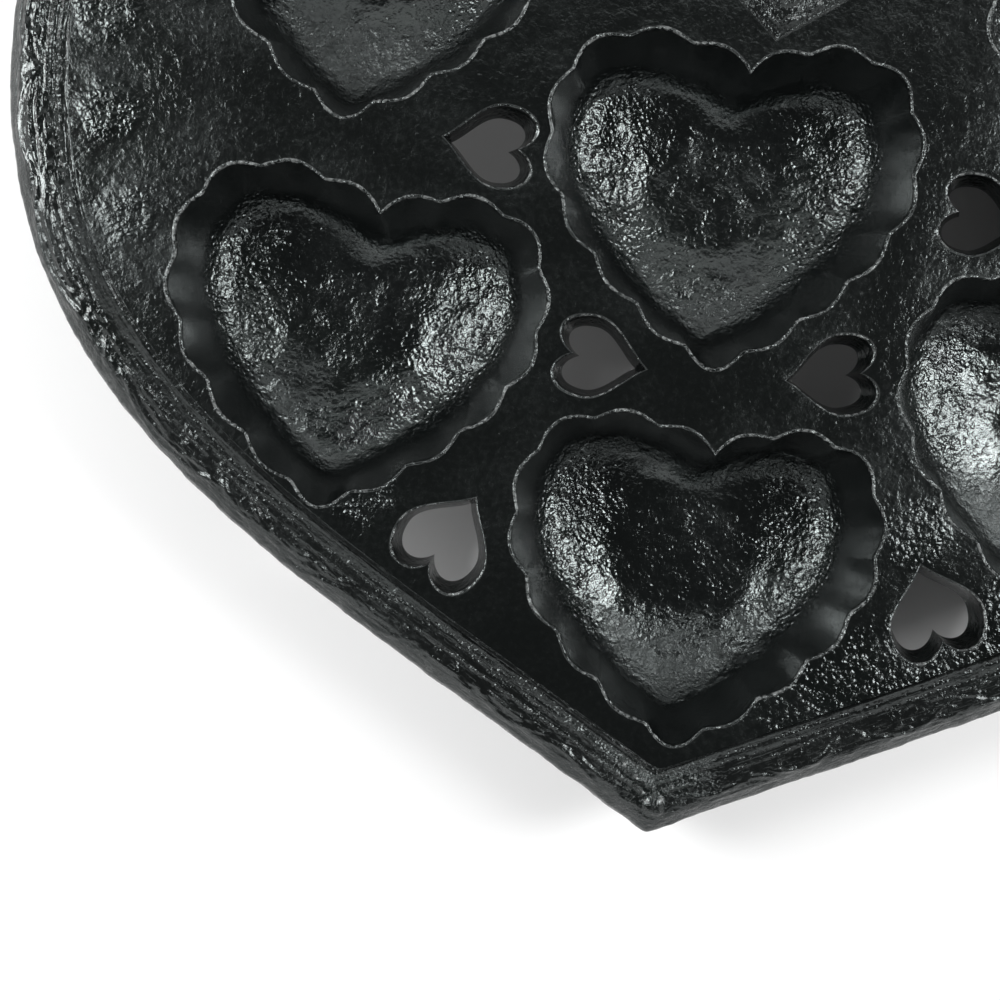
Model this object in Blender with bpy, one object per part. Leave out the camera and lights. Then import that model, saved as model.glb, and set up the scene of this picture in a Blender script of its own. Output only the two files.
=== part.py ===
"""Heart-shaped baking mould: one cast-iron pan that holds six fluted heart cups.

The pan is a single casting. Its plate is a big heart with a ridged border and a sloping skirt.
Six cups hang below the plate, each a fluted heart at its rim that runs into a smooth heart and
a shallow bowl, and small heart-shaped holes pierce the plate between them.
Sizes are in metres, with X across the pan, Y from its tip to its lobes and Z up. The origin is
on the table, under the middle of the pan.
"""

import math
from collections import namedtuple

import bmesh
import bpy
from mathutils import Matrix, Vector
from mathutils.geometry import interpolate_bezier

# Heights: the flat feet under the cups stand on the table, at zero
CUP_WALL_DEPTH = 0.0160
CUP_BOWL_DEPTH = 0.0040
CUP_FLOOR_THICKNESS = 0.0040
PLATE_THICKNESS = 0.0050
PLATE_TOP = CUP_FLOOR_THICKNESS + CUP_BOWL_DEPTH + CUP_WALL_DEPTH
PLATE_UNDERSIDE = PLATE_TOP - PLATE_THICKNESS

# Outline of the pan at the lower edge of its skirt, measured from the tip of the big heart
PAN_HALF_WIDTH = 0.1400
PAN_WIDEST_UP = 0.1375
PAN_LOBE_OUT = 0.0740
PAN_LOBE_UP = 0.2060
PAN_NOTCH_UP = 0.1660
PAN_TIP_HALF_ANGLE = math.radians(61.1)
PAN_NOTCH_HALF_ANGLE = math.radians(52.0)
PAN_TIP_HANDLE = 0.0853
PAN_SIDE_HANDLE = 0.0769
PAN_SHOULDER_HANDLE = 0.0375
PAN_CREST_HANDLE = 0.0360
PAN_NOTCH_HANDLE = 0.0200
PAN_STEPS = 20

# Skirt and border: how far in each band runs, and how high its inner edge lies over the plate
SKIRT_DROP = 0.0080
SKIRT_LIP = 0.0012
SKIRT_WALL = 0.0036
SKIRT_INNER_RUN = 0.0020
SHOULDER_RUN = 0.0010
SHOULDER_DROP = 0.0012
SKIRT_RUN = 0.0022
SKIRT_TOP = 0.0007
TWIG_EDGE_RUN = 0.0012
TWIG_TOP = 0.0024
TWIG_FOOT_RUN = 0.0022
TWIG_FOOT = 0.0011
OUTER_BAND_RUN = 0.0009
CREST_TOP = 0.0015
CREST_FOOT_RUN = 0.0006
CREST_FOOT = 0.0009
INNER_BAND_RUN = 0.0026
INNER_BAND_TOP = 0.0011
GROOVE_EDGE_RUN = 0.0005
GROOVE_DEPTH = 0.0004
GROOVE_RUN = 0.0006

# A cup's heart at its rim, without its flutes, measured from the middle of the cup
CUP_HALF_WIDTH = 0.0336
CUP_WIDEST_UP = 0.0050
CUP_NOTCH_UP = 0.0194
CUP_NOTCH_OFFSET = 0.0016
CUP_TIP_DOWN = 0.0337
CUP_TIP_HANDLE = 0.0040
CUP_FLANK_HANDLE = 0.0190
CUP_SHOULDER_HANDLE = 0.0275
CUP_NOTCH_HANDLE_OUT = 0.0066
CUP_NOTCH_HANDLE_UP = 0.0046

# How a cup's wall, bowl and outside run
CUP_WALL_RUN = 0.0046
CUP_NOTCH_RUN = 0.0059
CUP_BOWL_RUN = 0.0058
CUP_BOWL_DROP = 0.0024
CUP_BOTTOM_HALF_WIDTH = 0.0130
CUP_SHELL = 0.0038
CUP_SHELL_START = 0.0040
CUP_FOOT_INSET = 0.0040
CUP_FOOT_EDGE = 0.0025
FLUTE_DEPTH = 0.0017
FLUTES = 17
POINTS_PER_FLUTE = 4

# The rows of cups climb the pan in equal steps, in two columns each side of the middle one
FIRST_CUP_UP = 0.0539
CUP_ROW_RISE = 0.0355
SIDE_COLUMN_OUT = 0.0690
LOBE_COLUMN_OUT = 0.0750

# Small heart-shaped holes through the plate, wider at the top than below
RIM_HOLE_OUT = 0.0463
RIM_HOLE_UP = 0.0510
RIM_HOLE_WIDTH = 0.0180
RIM_HOLE_LENGTH = 0.0178
INNER_HOLE_WIDTH = 0.0150
INNER_HOLE_LENGTH = 0.0168
HOLE_NOTCH_DEPTH = 0.0030
HOLE_WALL_RUN = 0.0016
HOLE_POINTS = 24

# Shape of a small heart: how far back its widest place lies and how long its handles are,
# each as a share of its length or of its width
HOLE_WIDEST_BACK = 0.36
HOLE_TIP_HANDLE = (-0.22, 0.16)
HOLE_FLANK_HANDLE = 0.26
HOLE_LOBE_HANDLE = 0.42
HOLE_NOTCH_HANDLE = (-0.28, 0.14)

# The pattern maker set cups and holes by hand: one step off their true place is this long
HAND_STEP = 0.0010

# How far a cutter runs past the face that it cuts, how close two points count as one, and how
# far a face may lean and still count as flat
CUTTER_PAST = 0.0040
WELD_DISTANCE = 0.00001
FLAT_WITHIN = math.radians(8.0)

# Points along each stretch of a curve before it is cut into equal steps
CURVE_STEPS = 60

# Where a cup stands: its column, its row, how many hand steps it lies off, its turn in degrees
Cup = namedtuple("Cup", "column row steps_out steps_up turn")
CUPS = {
    "tip_cup": Cup(0.0, 0, 0.3, 0.0, 2.5),
    "left_cup": Cup(-SIDE_COLUMN_OUT, 1, -0.7, -1.0, -2.0),
    "right_cup": Cup(SIDE_COLUMN_OUT, 1, -0.8, 0.5, -0.6),
    "middle_cup": Cup(0.0, 2, -4.1, 0.0, 3.5),
    "left_lobe_cup": Cup(-LOBE_COLUMN_OUT, 3, -1.5, -0.4, -1.2),
    "right_lobe_cup": Cup(LOBE_COLUMN_OUT, 3, -1.5, 1.1, 1.8),
}

# An inner hole lies in the middle between three cups, and its turn is the way its own tip points
InnerHole = namedtuple("InnerHole", "between steps_out steps_up turn")
INNER_HOLES = {
    "lower_left_hole": InnerHole(("tip_cup", "left_cup", "middle_cup"), 1.8, -1.0, -3.6),
    "lower_right_hole": InnerHole(("tip_cup", "right_cup", "middle_cup"), -1.3, 2.1, -165.6),
    "upper_left_hole": InnerHole(("left_cup", "middle_cup", "left_lobe_cup"), 0.4, -0.5, 179.6),
    "upper_right_hole": InnerHole(("right_cup", "middle_cup", "right_lobe_cup"), -1.5, 0.0, -3.4),
}

# A rim hole lies by the border, on the left side of the pan (-1) or on its right side (1)
RimHole = namedtuple("RimHole", "side steps_out steps_up turn")
RIM_HOLES = {
    "left_rim_hole": RimHole(-1.0, 0.4, 0.0, 63.4),
    "right_rim_hole": RimHole(1.0, 0.4, 0.3, 116.0),
}


def clear_scene():
    """Remove what a new file holds."""
    for thing in list(bpy.data.objects):
        bpy.data.objects.remove(thing)


def new_collection(name):
    """Add a collection to the scene."""
    collection = bpy.data.collections.new(name)
    bpy.context.scene.collection.children.link(collection)
    return collection


def iron_material():
    """Black seasoned cast iron with a soft gloss."""
    material = bpy.data.materials.new("seasoned_iron")
    material.use_nodes = True
    shader = material.node_tree.nodes["Principled BSDF"]
    shader.inputs["Base Color"].default_value = (0.012, 0.014, 0.014, 1.0)
    shader.inputs["Roughness"].default_value = 0.32
    shader.inputs["Metallic"].default_value = 0.25
    material.diffuse_color = (0.03, 0.035, 0.035, 1.0)
    return material


def pan_point(out, up):
    """A point given from the tip of the pan, in the pan's own frame."""
    return Vector((out, up - PAN_LOBE_UP / 2.0, 0.0))


def slanting(length, half_angle):
    """A step of this length that leans off the pan's axis by the half angle."""
    return length * Vector((math.sin(half_angle), math.cos(half_angle), 0.0))


def mirrored(vector):
    """The same vector on the other side of the pan's axis."""
    return Vector((-vector.x, vector.y, vector.z))


def bezier_knot(spline, index, middle, before, after):
    """Set one knot of a curve and its two free handles."""
    knot = spline.bezier_points[index]
    knot.handle_left_type = "FREE"
    knot.handle_right_type = "FREE"
    knot.co = middle
    knot.handle_left = before
    knot.handle_right = after


def pan_outline_curve():
    """The flat big heart, as a filled curve as thick as the skirt's lip."""
    curve = bpy.data.curves.new("pan_outline", "CURVE")
    curve.dimensions = "2D"
    curve.fill_mode = "BOTH"
    curve.extrude = SKIRT_LIP / 2.0
    curve.resolution_u = PAN_STEPS
    spline = curve.splines.new("BEZIER")
    spline.bezier_points.add(5)
    spline.use_cyclic_u = True
    tip = pan_point(0.0, 0.0)
    notch = pan_point(0.0, PAN_NOTCH_UP)
    wide = pan_point(PAN_HALF_WIDTH, PAN_WIDEST_UP)
    crest = pan_point(PAN_LOBE_OUT, PAN_LOBE_UP)
    past_tip = tip + slanting(PAN_TIP_HANDLE, PAN_TIP_HALF_ANGLE)
    past_notch = notch + slanting(PAN_NOTCH_HANDLE, PAN_NOTCH_HALF_ANGLE)
    below = wide - Vector((0.0, PAN_SIDE_HANDLE, 0.0))
    above = wide + Vector((0.0, PAN_SHOULDER_HANDLE, 0.0))
    outer = crest + Vector((PAN_CREST_HANDLE, 0.0, 0.0))
    inner = crest - Vector((PAN_CREST_HANDLE, 0.0, 0.0))
    bezier_knot(spline, 0, tip, mirrored(past_tip), past_tip)
    bezier_knot(spline, 1, wide, below, above)
    bezier_knot(spline, 2, crest, outer, inner)
    bezier_knot(spline, 3, notch, past_notch, mirrored(past_notch))
    bezier_knot(spline, 4, mirrored(crest), mirrored(inner), mirrored(outer))
    bezier_knot(spline, 5, mirrored(wide), mirrored(above), mirrored(below))
    return bpy.data.objects.new("pan_outline", curve)


def mesh_from_curve(curve_object, collection):
    """Turn a curve object into a mesh with its caps welded on."""
    collection.objects.link(curve_object)
    graph = bpy.context.evaluated_depsgraph_get()
    mesh = bpy.data.meshes.new_from_object(curve_object.evaluated_get(graph))
    bpy.data.objects.remove(curve_object)
    shape = bmesh.new()
    shape.from_mesh(mesh)
    bmesh.ops.remove_doubles(shape, verts=shape.verts, dist=WELD_DISTANCE)
    return mesh, shape


def flat_face(shape, direction):
    """Make one face of all the faces that look up, or down, and return it."""
    flat = [face for face in shape.faces if face.normal.z * direction > math.cos(FLAT_WITHIN)]
    joined = bmesh.ops.dissolve_faces(shape, faces=flat, use_verts=False)
    return joined["region"][0]


def inset_steps(shape, face, steps):
    """Inset a face by each run in turn, and raise it by the rise that goes with the run."""
    for run, rise in steps:
        bmesh.ops.inset_region(
            shape, faces=[face], thickness=run, depth=rise, use_even_offset=True, use_boundary=True
        )


def border_steps():
    """Runs and rises from the skirt's lip, over the twig and the bands, down to the plate."""
    edges = (
        (SHOULDER_RUN, -SHOULDER_DROP),
        (SKIRT_RUN, SKIRT_TOP),
        (TWIG_EDGE_RUN, TWIG_TOP),
        (TWIG_FOOT_RUN, TWIG_FOOT),
        (OUTER_BAND_RUN, CREST_TOP),
        (CREST_FOOT_RUN, CREST_FOOT),
        (INNER_BAND_RUN, INNER_BAND_TOP),
        (GROOVE_EDGE_RUN, -GROOVE_DEPTH),
        (GROOVE_RUN, 0.0),
    )
    steps = []
    last = SKIRT_LIP - SKIRT_DROP
    for run, height in edges:
        steps.append((run, height - last))
        last = height
    return steps


def make_plate(collection, material):
    """The plate with its skirt below and its border on top, still without cups and holes."""
    mesh, shape = mesh_from_curve(pan_outline_curve(), collection)
    inset_steps(shape, flat_face(shape, 1.0), border_steps())
    hollow_under_plate = PLATE_UNDERSIDE - (PLATE_TOP - SKIRT_DROP)
    skirt_steps = ((SKIRT_WALL, 0.0), (SKIRT_INNER_RUN, -hollow_under_plate))
    inset_steps(shape, flat_face(shape, -1.0), skirt_steps)
    lip_middle = PLATE_TOP - SKIRT_DROP + SKIRT_LIP / 2.0
    bmesh.ops.translate(shape, verts=shape.verts, vec=Vector((0.0, 0.0, lip_middle)))
    bmesh.ops.recalc_face_normals(shape, faces=shape.faces)
    shape.to_mesh(mesh)
    shape.free()
    mesh.name = "mould_casting"
    mesh.materials.clear()
    mesh.materials.append(material)
    plate = bpy.data.objects.new("mould_casting", mesh)
    collection.objects.link(plate)
    return plate


def evenly_spaced(points, count):
    """Points at equal steps along a chain of points, its two ends included."""
    lengths = [0.0]
    for first, second in zip(points, points[1:]):
        lengths.append(lengths[-1] + (second - first).length)
    spaced = []
    place = 0
    for number in range(count + 1):
        target = lengths[-1] * number / count
        while place < len(points) - 2 and lengths[place + 1] < target:
            place += 1
        share = (target - lengths[place]) / (lengths[place + 1] - lengths[place])
        spaced.append(points[place].lerp(points[place + 1], share))
    return spaced


def cup_side(side, inset, notch_drop, count):
    """One side of a cup's heart, from its tip to its notch, at equal steps."""
    shrink = (CUP_HALF_WIDTH - inset) / CUP_HALF_WIDTH
    tip = Vector((0.0, inset - CUP_TIP_DOWN))
    wide = Vector((side * (CUP_HALF_WIDTH - inset), CUP_WIDEST_UP))
    notch = Vector((CUP_NOTCH_OFFSET, CUP_NOTCH_UP - notch_drop))
    past_tip = tip + Vector((side * CUP_TIP_HANDLE, 0.0))
    before_wide = wide - Vector((0.0, CUP_FLANK_HANDLE * shrink))
    past_wide = wide + Vector((0.0, (CUP_SHOULDER_HANDLE - inset) * shrink))
    notch_handle = Vector((side * CUP_NOTCH_HANDLE_OUT, CUP_NOTCH_HANDLE_UP)) * shrink
    flank = interpolate_bezier(tip, past_tip, before_wide, wide, CURVE_STEPS)
    lobe = interpolate_bezier(wide, past_wide, notch + notch_handle, notch, CURVE_STEPS)
    return evenly_spaced(flank + lobe[1:], count)


def cup_ring(depth, shell=0.0):
    """Points round a cup at a depth under its rim: fluted at the rim, smooth at the floor."""
    share = depth / CUP_WALL_DEPTH
    count = FLUTES * POINTS_PER_FLUTE // 2
    inset = CUP_WALL_RUN * share
    notch_drop = CUP_NOTCH_RUN * share
    right = cup_side(1.0, inset, notch_drop, count)
    left = cup_side(-1.0, inset, notch_drop, count)
    ring = right + left[-2:0:-1]
    flute = FLUTE_DEPTH * (1.0 - share)
    moved = []
    for number, point in enumerate(ring):
        along = (ring[(number + 1) % len(ring)] - ring[number - 1]).normalized()
        outward = Vector((along.y, -along.x))
        bulge = abs(math.cos(math.pi * number / POINTS_PER_FLUTE))
        moved.append(point + outward * (flute * bulge + shell))
    return moved


def shrunk_floor(half_width):
    """The smooth heart at the foot of a cup's wall, drawn in to a smaller half width."""
    share = half_width / (CUP_HALF_WIDTH - CUP_WALL_RUN)
    return [point * share for point in cup_ring(CUP_WALL_DEPTH)]


def loft(name, rings, collection):
    """A closed solid over rings of (points, height) from top to bottom, flat at both ends."""
    shape = bmesh.new()
    layers = []
    for points, height in rings:
        layers.append([shape.verts.new((point.x, point.y, height)) for point in points])
    for upper, lower in zip(layers, layers[1:]):
        for number in range(len(upper)):
            after = (number + 1) % len(upper)
            shape.faces.new((upper[number], lower[number], lower[after], upper[after]))
    shape.faces.new(layers[0])
    shape.faces.new(list(reversed(layers[-1])))
    bmesh.ops.recalc_face_normals(shape, faces=shape.faces)
    mesh = bpy.data.meshes.new(name)
    shape.to_mesh(mesh)
    shape.free()
    solid = bpy.data.objects.new(name, mesh)
    collection.objects.link(solid)
    solid.hide_render = True
    solid.display_type = "WIRE"
    return solid


def set_in_pan(solid, middle, turn):
    """Move a solid from the origin to its place in the pan, turned by so many degrees."""
    solid.matrix_world = Matrix.Translation(middle) @ Matrix.Rotation(math.radians(turn), 4, "Z")


def cup_middle(cup):
    """The middle of a cup, in the pan's own frame."""
    out = cup.column + cup.steps_out * HAND_STEP
    up = FIRST_CUP_UP + cup.row * CUP_ROW_RISE + cup.steps_up * HAND_STEP
    return pan_point(out, up)


def make_cup_shell(name, cup, collection):
    """The outside of a cup, from inside the plate down to its flat foot."""
    floor = cup_ring(CUP_WALL_DEPTH)
    rings = [
        (cup_ring(CUP_SHELL_START, CUP_SHELL), PLATE_TOP - CUP_SHELL_START),
        (cup_ring(CUP_WALL_DEPTH, CUP_SHELL), PLATE_TOP - CUP_WALL_DEPTH),
        (floor, CUP_FOOT_EDGE),
        (shrunk_floor(CUP_HALF_WIDTH - CUP_WALL_RUN - CUP_FOOT_INSET), 0.0),
    ]
    set_in_pan(loft(name + "_outside", rings, collection), cup_middle(cup), cup.turn)


def make_cup_hollow(name, cup, collection):
    """The inside of a cup, from above the plate down to the bottom of its bowl."""
    crease = PLATE_TOP - CUP_WALL_DEPTH
    rings = [
        (cup_ring(-CUTTER_PAST), PLATE_TOP + CUTTER_PAST),
        (cup_ring(CUP_WALL_DEPTH / 2.0), PLATE_TOP - CUP_WALL_DEPTH / 2.0),
        (cup_ring(CUP_WALL_DEPTH), crease),
        (shrunk_floor(CUP_HALF_WIDTH - CUP_WALL_RUN - CUP_BOWL_RUN), crease - CUP_BOWL_DROP),
        (shrunk_floor(CUP_BOTTOM_HALF_WIDTH), crease - CUP_BOWL_DEPTH),
    ]
    set_in_pan(loft(name + "_hollow", rings, collection), cup_middle(cup), cup.turn)


def small_heart_side(side, width, length):
    """One side of a small heart whose tip points along X, from its tip to its notch."""
    tip = Vector((length / 2.0, 0.0))
    wide = Vector((HOLE_WIDEST_BACK * length - length / 2.0, side * width / 2.0))
    notch = Vector((HOLE_NOTCH_DEPTH - length / 2.0, 0.0))
    past_tip = tip + Vector((HOLE_TIP_HANDLE[0] * length, HOLE_TIP_HANDLE[1] * side * width))
    before_wide = wide + Vector((HOLE_FLANK_HANDLE * length, 0.0))
    past_wide = wide - Vector((HOLE_LOBE_HANDLE * length, 0.0))
    past_notch = notch + Vector((HOLE_NOTCH_HANDLE[0] * length, HOLE_NOTCH_HANDLE[1] * side * width))
    flank = interpolate_bezier(tip, past_tip, before_wide, wide, CURVE_STEPS)
    lobe = interpolate_bezier(wide, past_wide, past_notch, notch, CURVE_STEPS)
    return evenly_spaced(flank + lobe[1:], HOLE_POINTS // 2)


def hole_ring(width, length, spread):
    """Points round a small heart that has grown all round by the spread of its wall."""
    right = small_heart_side(1.0, width + 2.0 * spread, length + 2.0 * spread)
    left = small_heart_side(-1.0, width + 2.0 * spread, length + 2.0 * spread)
    return right + left[-2:0:-1]


def make_hole(name, middle, turn, width, length, collection):
    """A small heart-shaped hole whose wall draws in from the top of the plate down."""
    past_spread = HOLE_WALL_RUN * CUTTER_PAST / PLATE_THICKNESS
    upper = hole_ring(width, length, past_spread)
    lower = hole_ring(width, length, -HOLE_WALL_RUN - past_spread)
    rings = [(upper, PLATE_TOP + CUTTER_PAST), (lower, PLATE_UNDERSIDE - CUTTER_PAST)]
    set_in_pan(loft(name, rings, collection), middle, turn)


def make_inner_hole(name, hole, collection):
    """A hole in the plate between three cups."""
    middle = sum((cup_middle(CUPS[cup]) for cup in hole.between), Vector()) / len(hole.between)
    middle += HAND_STEP * Vector((hole.steps_out, hole.steps_up, 0.0))
    make_hole(name, middle, hole.turn, INNER_HOLE_WIDTH, INNER_HOLE_LENGTH, collection)


def make_rim_hole(name, hole, collection):
    """A hole in the corner between a side cup, the tip cup and the border."""
    middle = pan_point(hole.side * RIM_HOLE_OUT, RIM_HOLE_UP)
    middle += HAND_STEP * Vector((hole.steps_out, hole.steps_up, 0.0))
    make_hole(name, middle, hole.turn, RIM_HOLE_WIDTH, RIM_HOLE_LENGTH, collection)


def add_boolean(target, name, operation, operands):
    """Join or cut the casting with every solid of a collection."""
    modifier = target.modifiers.new(name, "BOOLEAN")
    modifier.operation = operation
    modifier.operand_type = "COLLECTION"
    modifier.collection = operands
    modifier.solver = "EXACT"


def build():
    """Make the casting and the solids that shape it."""
    clear_scene()
    pan = new_collection("heart_baking_mould")
    shells = new_collection("cup_outsides")
    hollows = new_collection("cup_hollows_and_holes")
    casting = make_plate(pan, iron_material())
    for name, cup in CUPS.items():
        make_cup_shell(name, cup, shells)
        make_cup_hollow(name, cup, hollows)
    for name, hole in INNER_HOLES.items():
        make_inner_hole(name, hole, hollows)
    for name, hole in RIM_HOLES.items():
        make_rim_hole(name, hole, hollows)
    add_boolean(casting, "join_cups", "UNION", shells)
    add_boolean(casting, "hollow_cups", "DIFFERENCE", hollows)


build()
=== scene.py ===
"""Heart-shaped baking mould of black cast iron: its looks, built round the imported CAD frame.

The pan is one casting. Here it is dressed in the parts that a foundry's pattern would have: the
ridged border with its skirt, the flat plate with its small heart-shaped holes, and six fluted
heart cups. Their edges share the same points, so they read as the single casting that they are.
Sizes are in metres, in the frame of the CAD: X across the pan, Y from its tip to its lobes, Z up.
"""

import logging
import math
from dataclasses import dataclass, field
from enum import Enum
from typing import ClassVar

import bmesh
import bpy
import numpy as np
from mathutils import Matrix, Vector
from mathutils.geometry import delaunay_2d_cdt
from mathutils.kdtree import KDTree

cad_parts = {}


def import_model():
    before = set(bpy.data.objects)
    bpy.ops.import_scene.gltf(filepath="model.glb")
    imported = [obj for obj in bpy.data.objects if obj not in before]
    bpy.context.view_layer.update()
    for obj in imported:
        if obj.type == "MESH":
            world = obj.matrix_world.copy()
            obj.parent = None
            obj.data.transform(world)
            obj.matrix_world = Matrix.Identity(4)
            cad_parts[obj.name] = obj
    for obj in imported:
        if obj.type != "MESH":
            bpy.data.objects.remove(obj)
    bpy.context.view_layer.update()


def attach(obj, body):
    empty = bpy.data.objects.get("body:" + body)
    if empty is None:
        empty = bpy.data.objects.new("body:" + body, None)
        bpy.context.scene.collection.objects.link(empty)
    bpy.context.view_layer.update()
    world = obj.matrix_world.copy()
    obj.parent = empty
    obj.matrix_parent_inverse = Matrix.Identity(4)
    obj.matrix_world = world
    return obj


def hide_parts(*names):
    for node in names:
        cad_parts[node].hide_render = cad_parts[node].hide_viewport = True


LOG = logging.getLogger("heart_pan")

PLATE_TOP = 0.0240
PLATE_UNDERSIDE = 0.0190
BODY = "root"
CASTING = "mould_casting"
SKIN_ATTRIBUTE = "skin"
STRAND_MAP = "strand"
MATTE_ATTRIBUTE = "matte"
# Share of plain white on the table, which carries painted shade under the pan and painted light towards
# its left.
PAINTED_LIGHT_ATTRIBUTE = "glow"
LINE_GAPS = "line_gaps"
LINE_SHARES = "line_shares"

# Takes the places that a noise is read at away from the corner of its lattice.
SHIFT = 99.0


class Skin(Enum):
    """How the iron's skin lies: the share of pebbles that a stretch of the casting carries."""

    SOFT = 0.35
    PEBBLED = 1.0
    # The highest share, on the rims of cups and holes, also paints grey flecks into the colour there:
    # partly edge wear, partly a painted highlight along the rims.
    WORN_AND_GLINT = 1.5


# Small helpers for points


def bezier(
    start: np.ndarray, reach: np.ndarray, before: np.ndarray, end: np.ndarray, steps: int
) -> np.ndarray:
    """Points along a cubic Bezier curve.

    Args:
        start: First knot.
        reach: Handle after the first knot.
        before: Handle before the last knot.
        end: Last knot.
        steps: Number of points, both knots included.

    Returns:
        The points, one a row.
    """
    share = np.linspace(0.0, 1.0, steps)[:, None]
    rest = 1.0 - share
    early = rest**3 * start + 3.0 * rest**2 * share * reach
    return early + 3.0 * rest * share**2 * before + share**3 * end


def at_even_steps(points: np.ndarray, count: int) -> np.ndarray:
    """Points at equal steps along a chain.

    Args:
        points: The chain, one point a row.
        count: Number of steps.

    Returns:
        count + 1 points, both ends included.
    """
    lengths = np.concatenate([[0.0], np.cumsum(np.linalg.norm(np.diff(points, axis=0), axis=1))])
    wanted = np.linspace(0.0, lengths[-1], count + 1)
    return np.stack([np.interp(wanted, lengths, points[:, axis]) for axis in range(2)], axis=1)


def outward_normals(ring: np.ndarray) -> np.ndarray:
    """Unit vectors that point out of a closed ring which runs to the left."""
    along = np.roll(ring, -1, axis=0) - np.roll(ring, 1, axis=0)
    along /= np.linalg.norm(along, axis=1)[:, None]
    return np.stack([along[:, 1], -along[:, 0]], axis=1)


def smooth_step(low: float, high: float, value: np.ndarray) -> np.ndarray:
    """Zero below low, one above high and a soft ramp between them."""
    share = np.clip((value - low) / (high - low), 0.0, 1.0)
    return share * share * (3.0 - 2.0 * share)


def hump(distance: np.ndarray, width: float) -> np.ndarray:
    """A soft bump, one at no distance and next to nothing at the width."""
    return np.exp(-2.3 * (distance / width) ** 2)


@dataclass
class SoftNoise:
    """Smooth seeded noise over a plane, from about -1 to 1.

    Attributes:
        seed: Picks the pattern.
    """

    seed: int
    cells: ClassVar[int] = 256
    lattice: np.ndarray = field(init=False)

    def __post_init__(self) -> None:
        """Fill the lattice that the noise runs between."""
        self.lattice = np.random.default_rng(self.seed).uniform(-1.0, 1.0, (self.cells, self.cells))

    def at(self, first: np.ndarray, second: np.ndarray) -> np.ndarray:
        """Noise at places given in cells of the lattice."""
        column = np.floor(first).astype(int)
        row = np.floor(second).astype(int)
        across = first - column
        down = second - row
        across = across * across * (3.0 - 2.0 * across)
        down = down * down * (3.0 - 2.0 * down)

        def corner(right: int, up: int) -> np.ndarray:
            return self.lattice[(column + right) % self.cells, (row + up) % self.cells]

        low = corner(0, 0) * (1.0 - across) + corner(1, 0) * across
        high = corner(0, 1) * (1.0 - across) + corner(1, 1) * across
        return low * (1.0 - down) + high * down


# Small helpers for meshes


def ring_3d(ring: np.ndarray, height: float) -> np.ndarray:
    """A flat ring lifted to a height."""
    return np.column_stack([ring, np.full(len(ring), height)])


def leave_edit_mode() -> None:
    """Go back to object mode if a mesh is still being edited."""
    if bpy.context.object is not None and bpy.context.object.mode != "OBJECT":
        bpy.ops.object.mode_set(mode="OBJECT")


def select_only(piece: bpy.types.Object) -> None:
    """Make this piece the only selected one, and the active one."""
    leave_edit_mode()
    bpy.ops.object.select_all(action="DESELECT")
    piece.select_set(True)
    bpy.context.view_layer.objects.active = piece


def place_ring(shape: bmesh.types.BMesh, order: list[int], ring: np.ndarray) -> None:
    """Move the vertices with these numbers to the ring's points."""
    for number, point in zip(order, ring):
        shape.verts[number].co = point


def extrude_through(name: str, rings: list[np.ndarray], closed: bool) -> bpy.types.Object:
    """Extrude a circle of edges from ring to ring.

    Args:
        name: Name of the new piece.
        rings: Rings of equally many points, each with three coordinates.
        closed: Whether the last ring is joined to the first one.

    Returns:
        The piece, whose faces are rows of quads.
    """
    leave_edit_mode()
    bpy.ops.object.select_all(action="DESELECT")
    bpy.ops.mesh.primitive_circle_add(vertices=len(rings[0]), radius=PLATE_TOP, fill_type="NOTHING")
    piece = bpy.context.object
    piece.name = name
    piece.data.name = name
    bpy.ops.object.mode_set(mode="EDIT")
    bpy.ops.mesh.select_all(action="SELECT")
    shape = bmesh.from_edit_mesh(piece.data)
    shape.verts.ensure_lookup_table()
    order = list(range(len(rings[0])))
    place_ring(shape, order, rings[0])
    path = rings[1:] + ([rings[0]] if closed else [])
    for ring in path:
        bpy.ops.mesh.extrude_region()
        shape = bmesh.from_edit_mesh(piece.data)
        shape.verts.index_update()
        shape.verts.ensure_lookup_table()
        order = [new_number(shape, number) for number in order]
        place_ring(shape, order, ring)
    bpy.ops.mesh.select_all(action="SELECT")
    bpy.ops.mesh.remove_doubles(threshold=0.000001)
    bpy.ops.mesh.normals_make_consistent(inside=False)
    bpy.ops.object.mode_set(mode="OBJECT")
    return piece


def new_number(shape: bmesh.types.BMesh, number: int) -> int:
    """Number of the vertex that an extrusion has pulled out of this one."""
    for edge in shape.verts[number].link_edges:
        other = edge.other_vert(shape.verts[number])
        if other.select and not shape.verts[number].select:
            return other.index
    raise ValueError("no vertex was pulled out of number %d" % number)


def join_pieces(name: str, pieces: list[bpy.types.Object]) -> bpy.types.Object:
    """Join meshes into one, weld where they meet and turn their faces outwards.

    Args:
        name: Name of the joined piece.
        pieces: The meshes, of which the first one stays.

    Returns:
        The joined piece.
    """
    select_only(pieces[0])
    for piece in pieces:
        piece.select_set(True)
    bpy.ops.object.join()
    joined = bpy.context.object
    joined.name = name
    joined.data.name = name
    bpy.ops.object.mode_set(mode="EDIT")
    bpy.ops.mesh.select_all(action="SELECT")
    bpy.ops.mesh.remove_doubles(threshold=0.000002)
    bpy.ops.mesh.normals_make_consistent(inside=False)
    bpy.ops.object.mode_set(mode="OBJECT")
    return joined


def finish_mesh(piece: bpy.types.Object, material: bpy.types.Material, sharp: float) -> None:
    """Shade a piece smoothly up to an angle, give it its iron and let it ride on the pan.

    Args:
        piece: The finished mesh.
        material: Its iron.
        sharp: Angle in degrees beyond which an edge stays sharp.
    """
    select_only(piece)
    bpy.ops.object.shade_smooth_by_angle(angle=math.radians(sharp))
    piece.data.materials.clear()
    piece.data.materials.append(material)
    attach(piece, BODY)
    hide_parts(CASTING)
    LOG.info("%s: %d faces", piece.name, len(piece.data.polygons))


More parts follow.
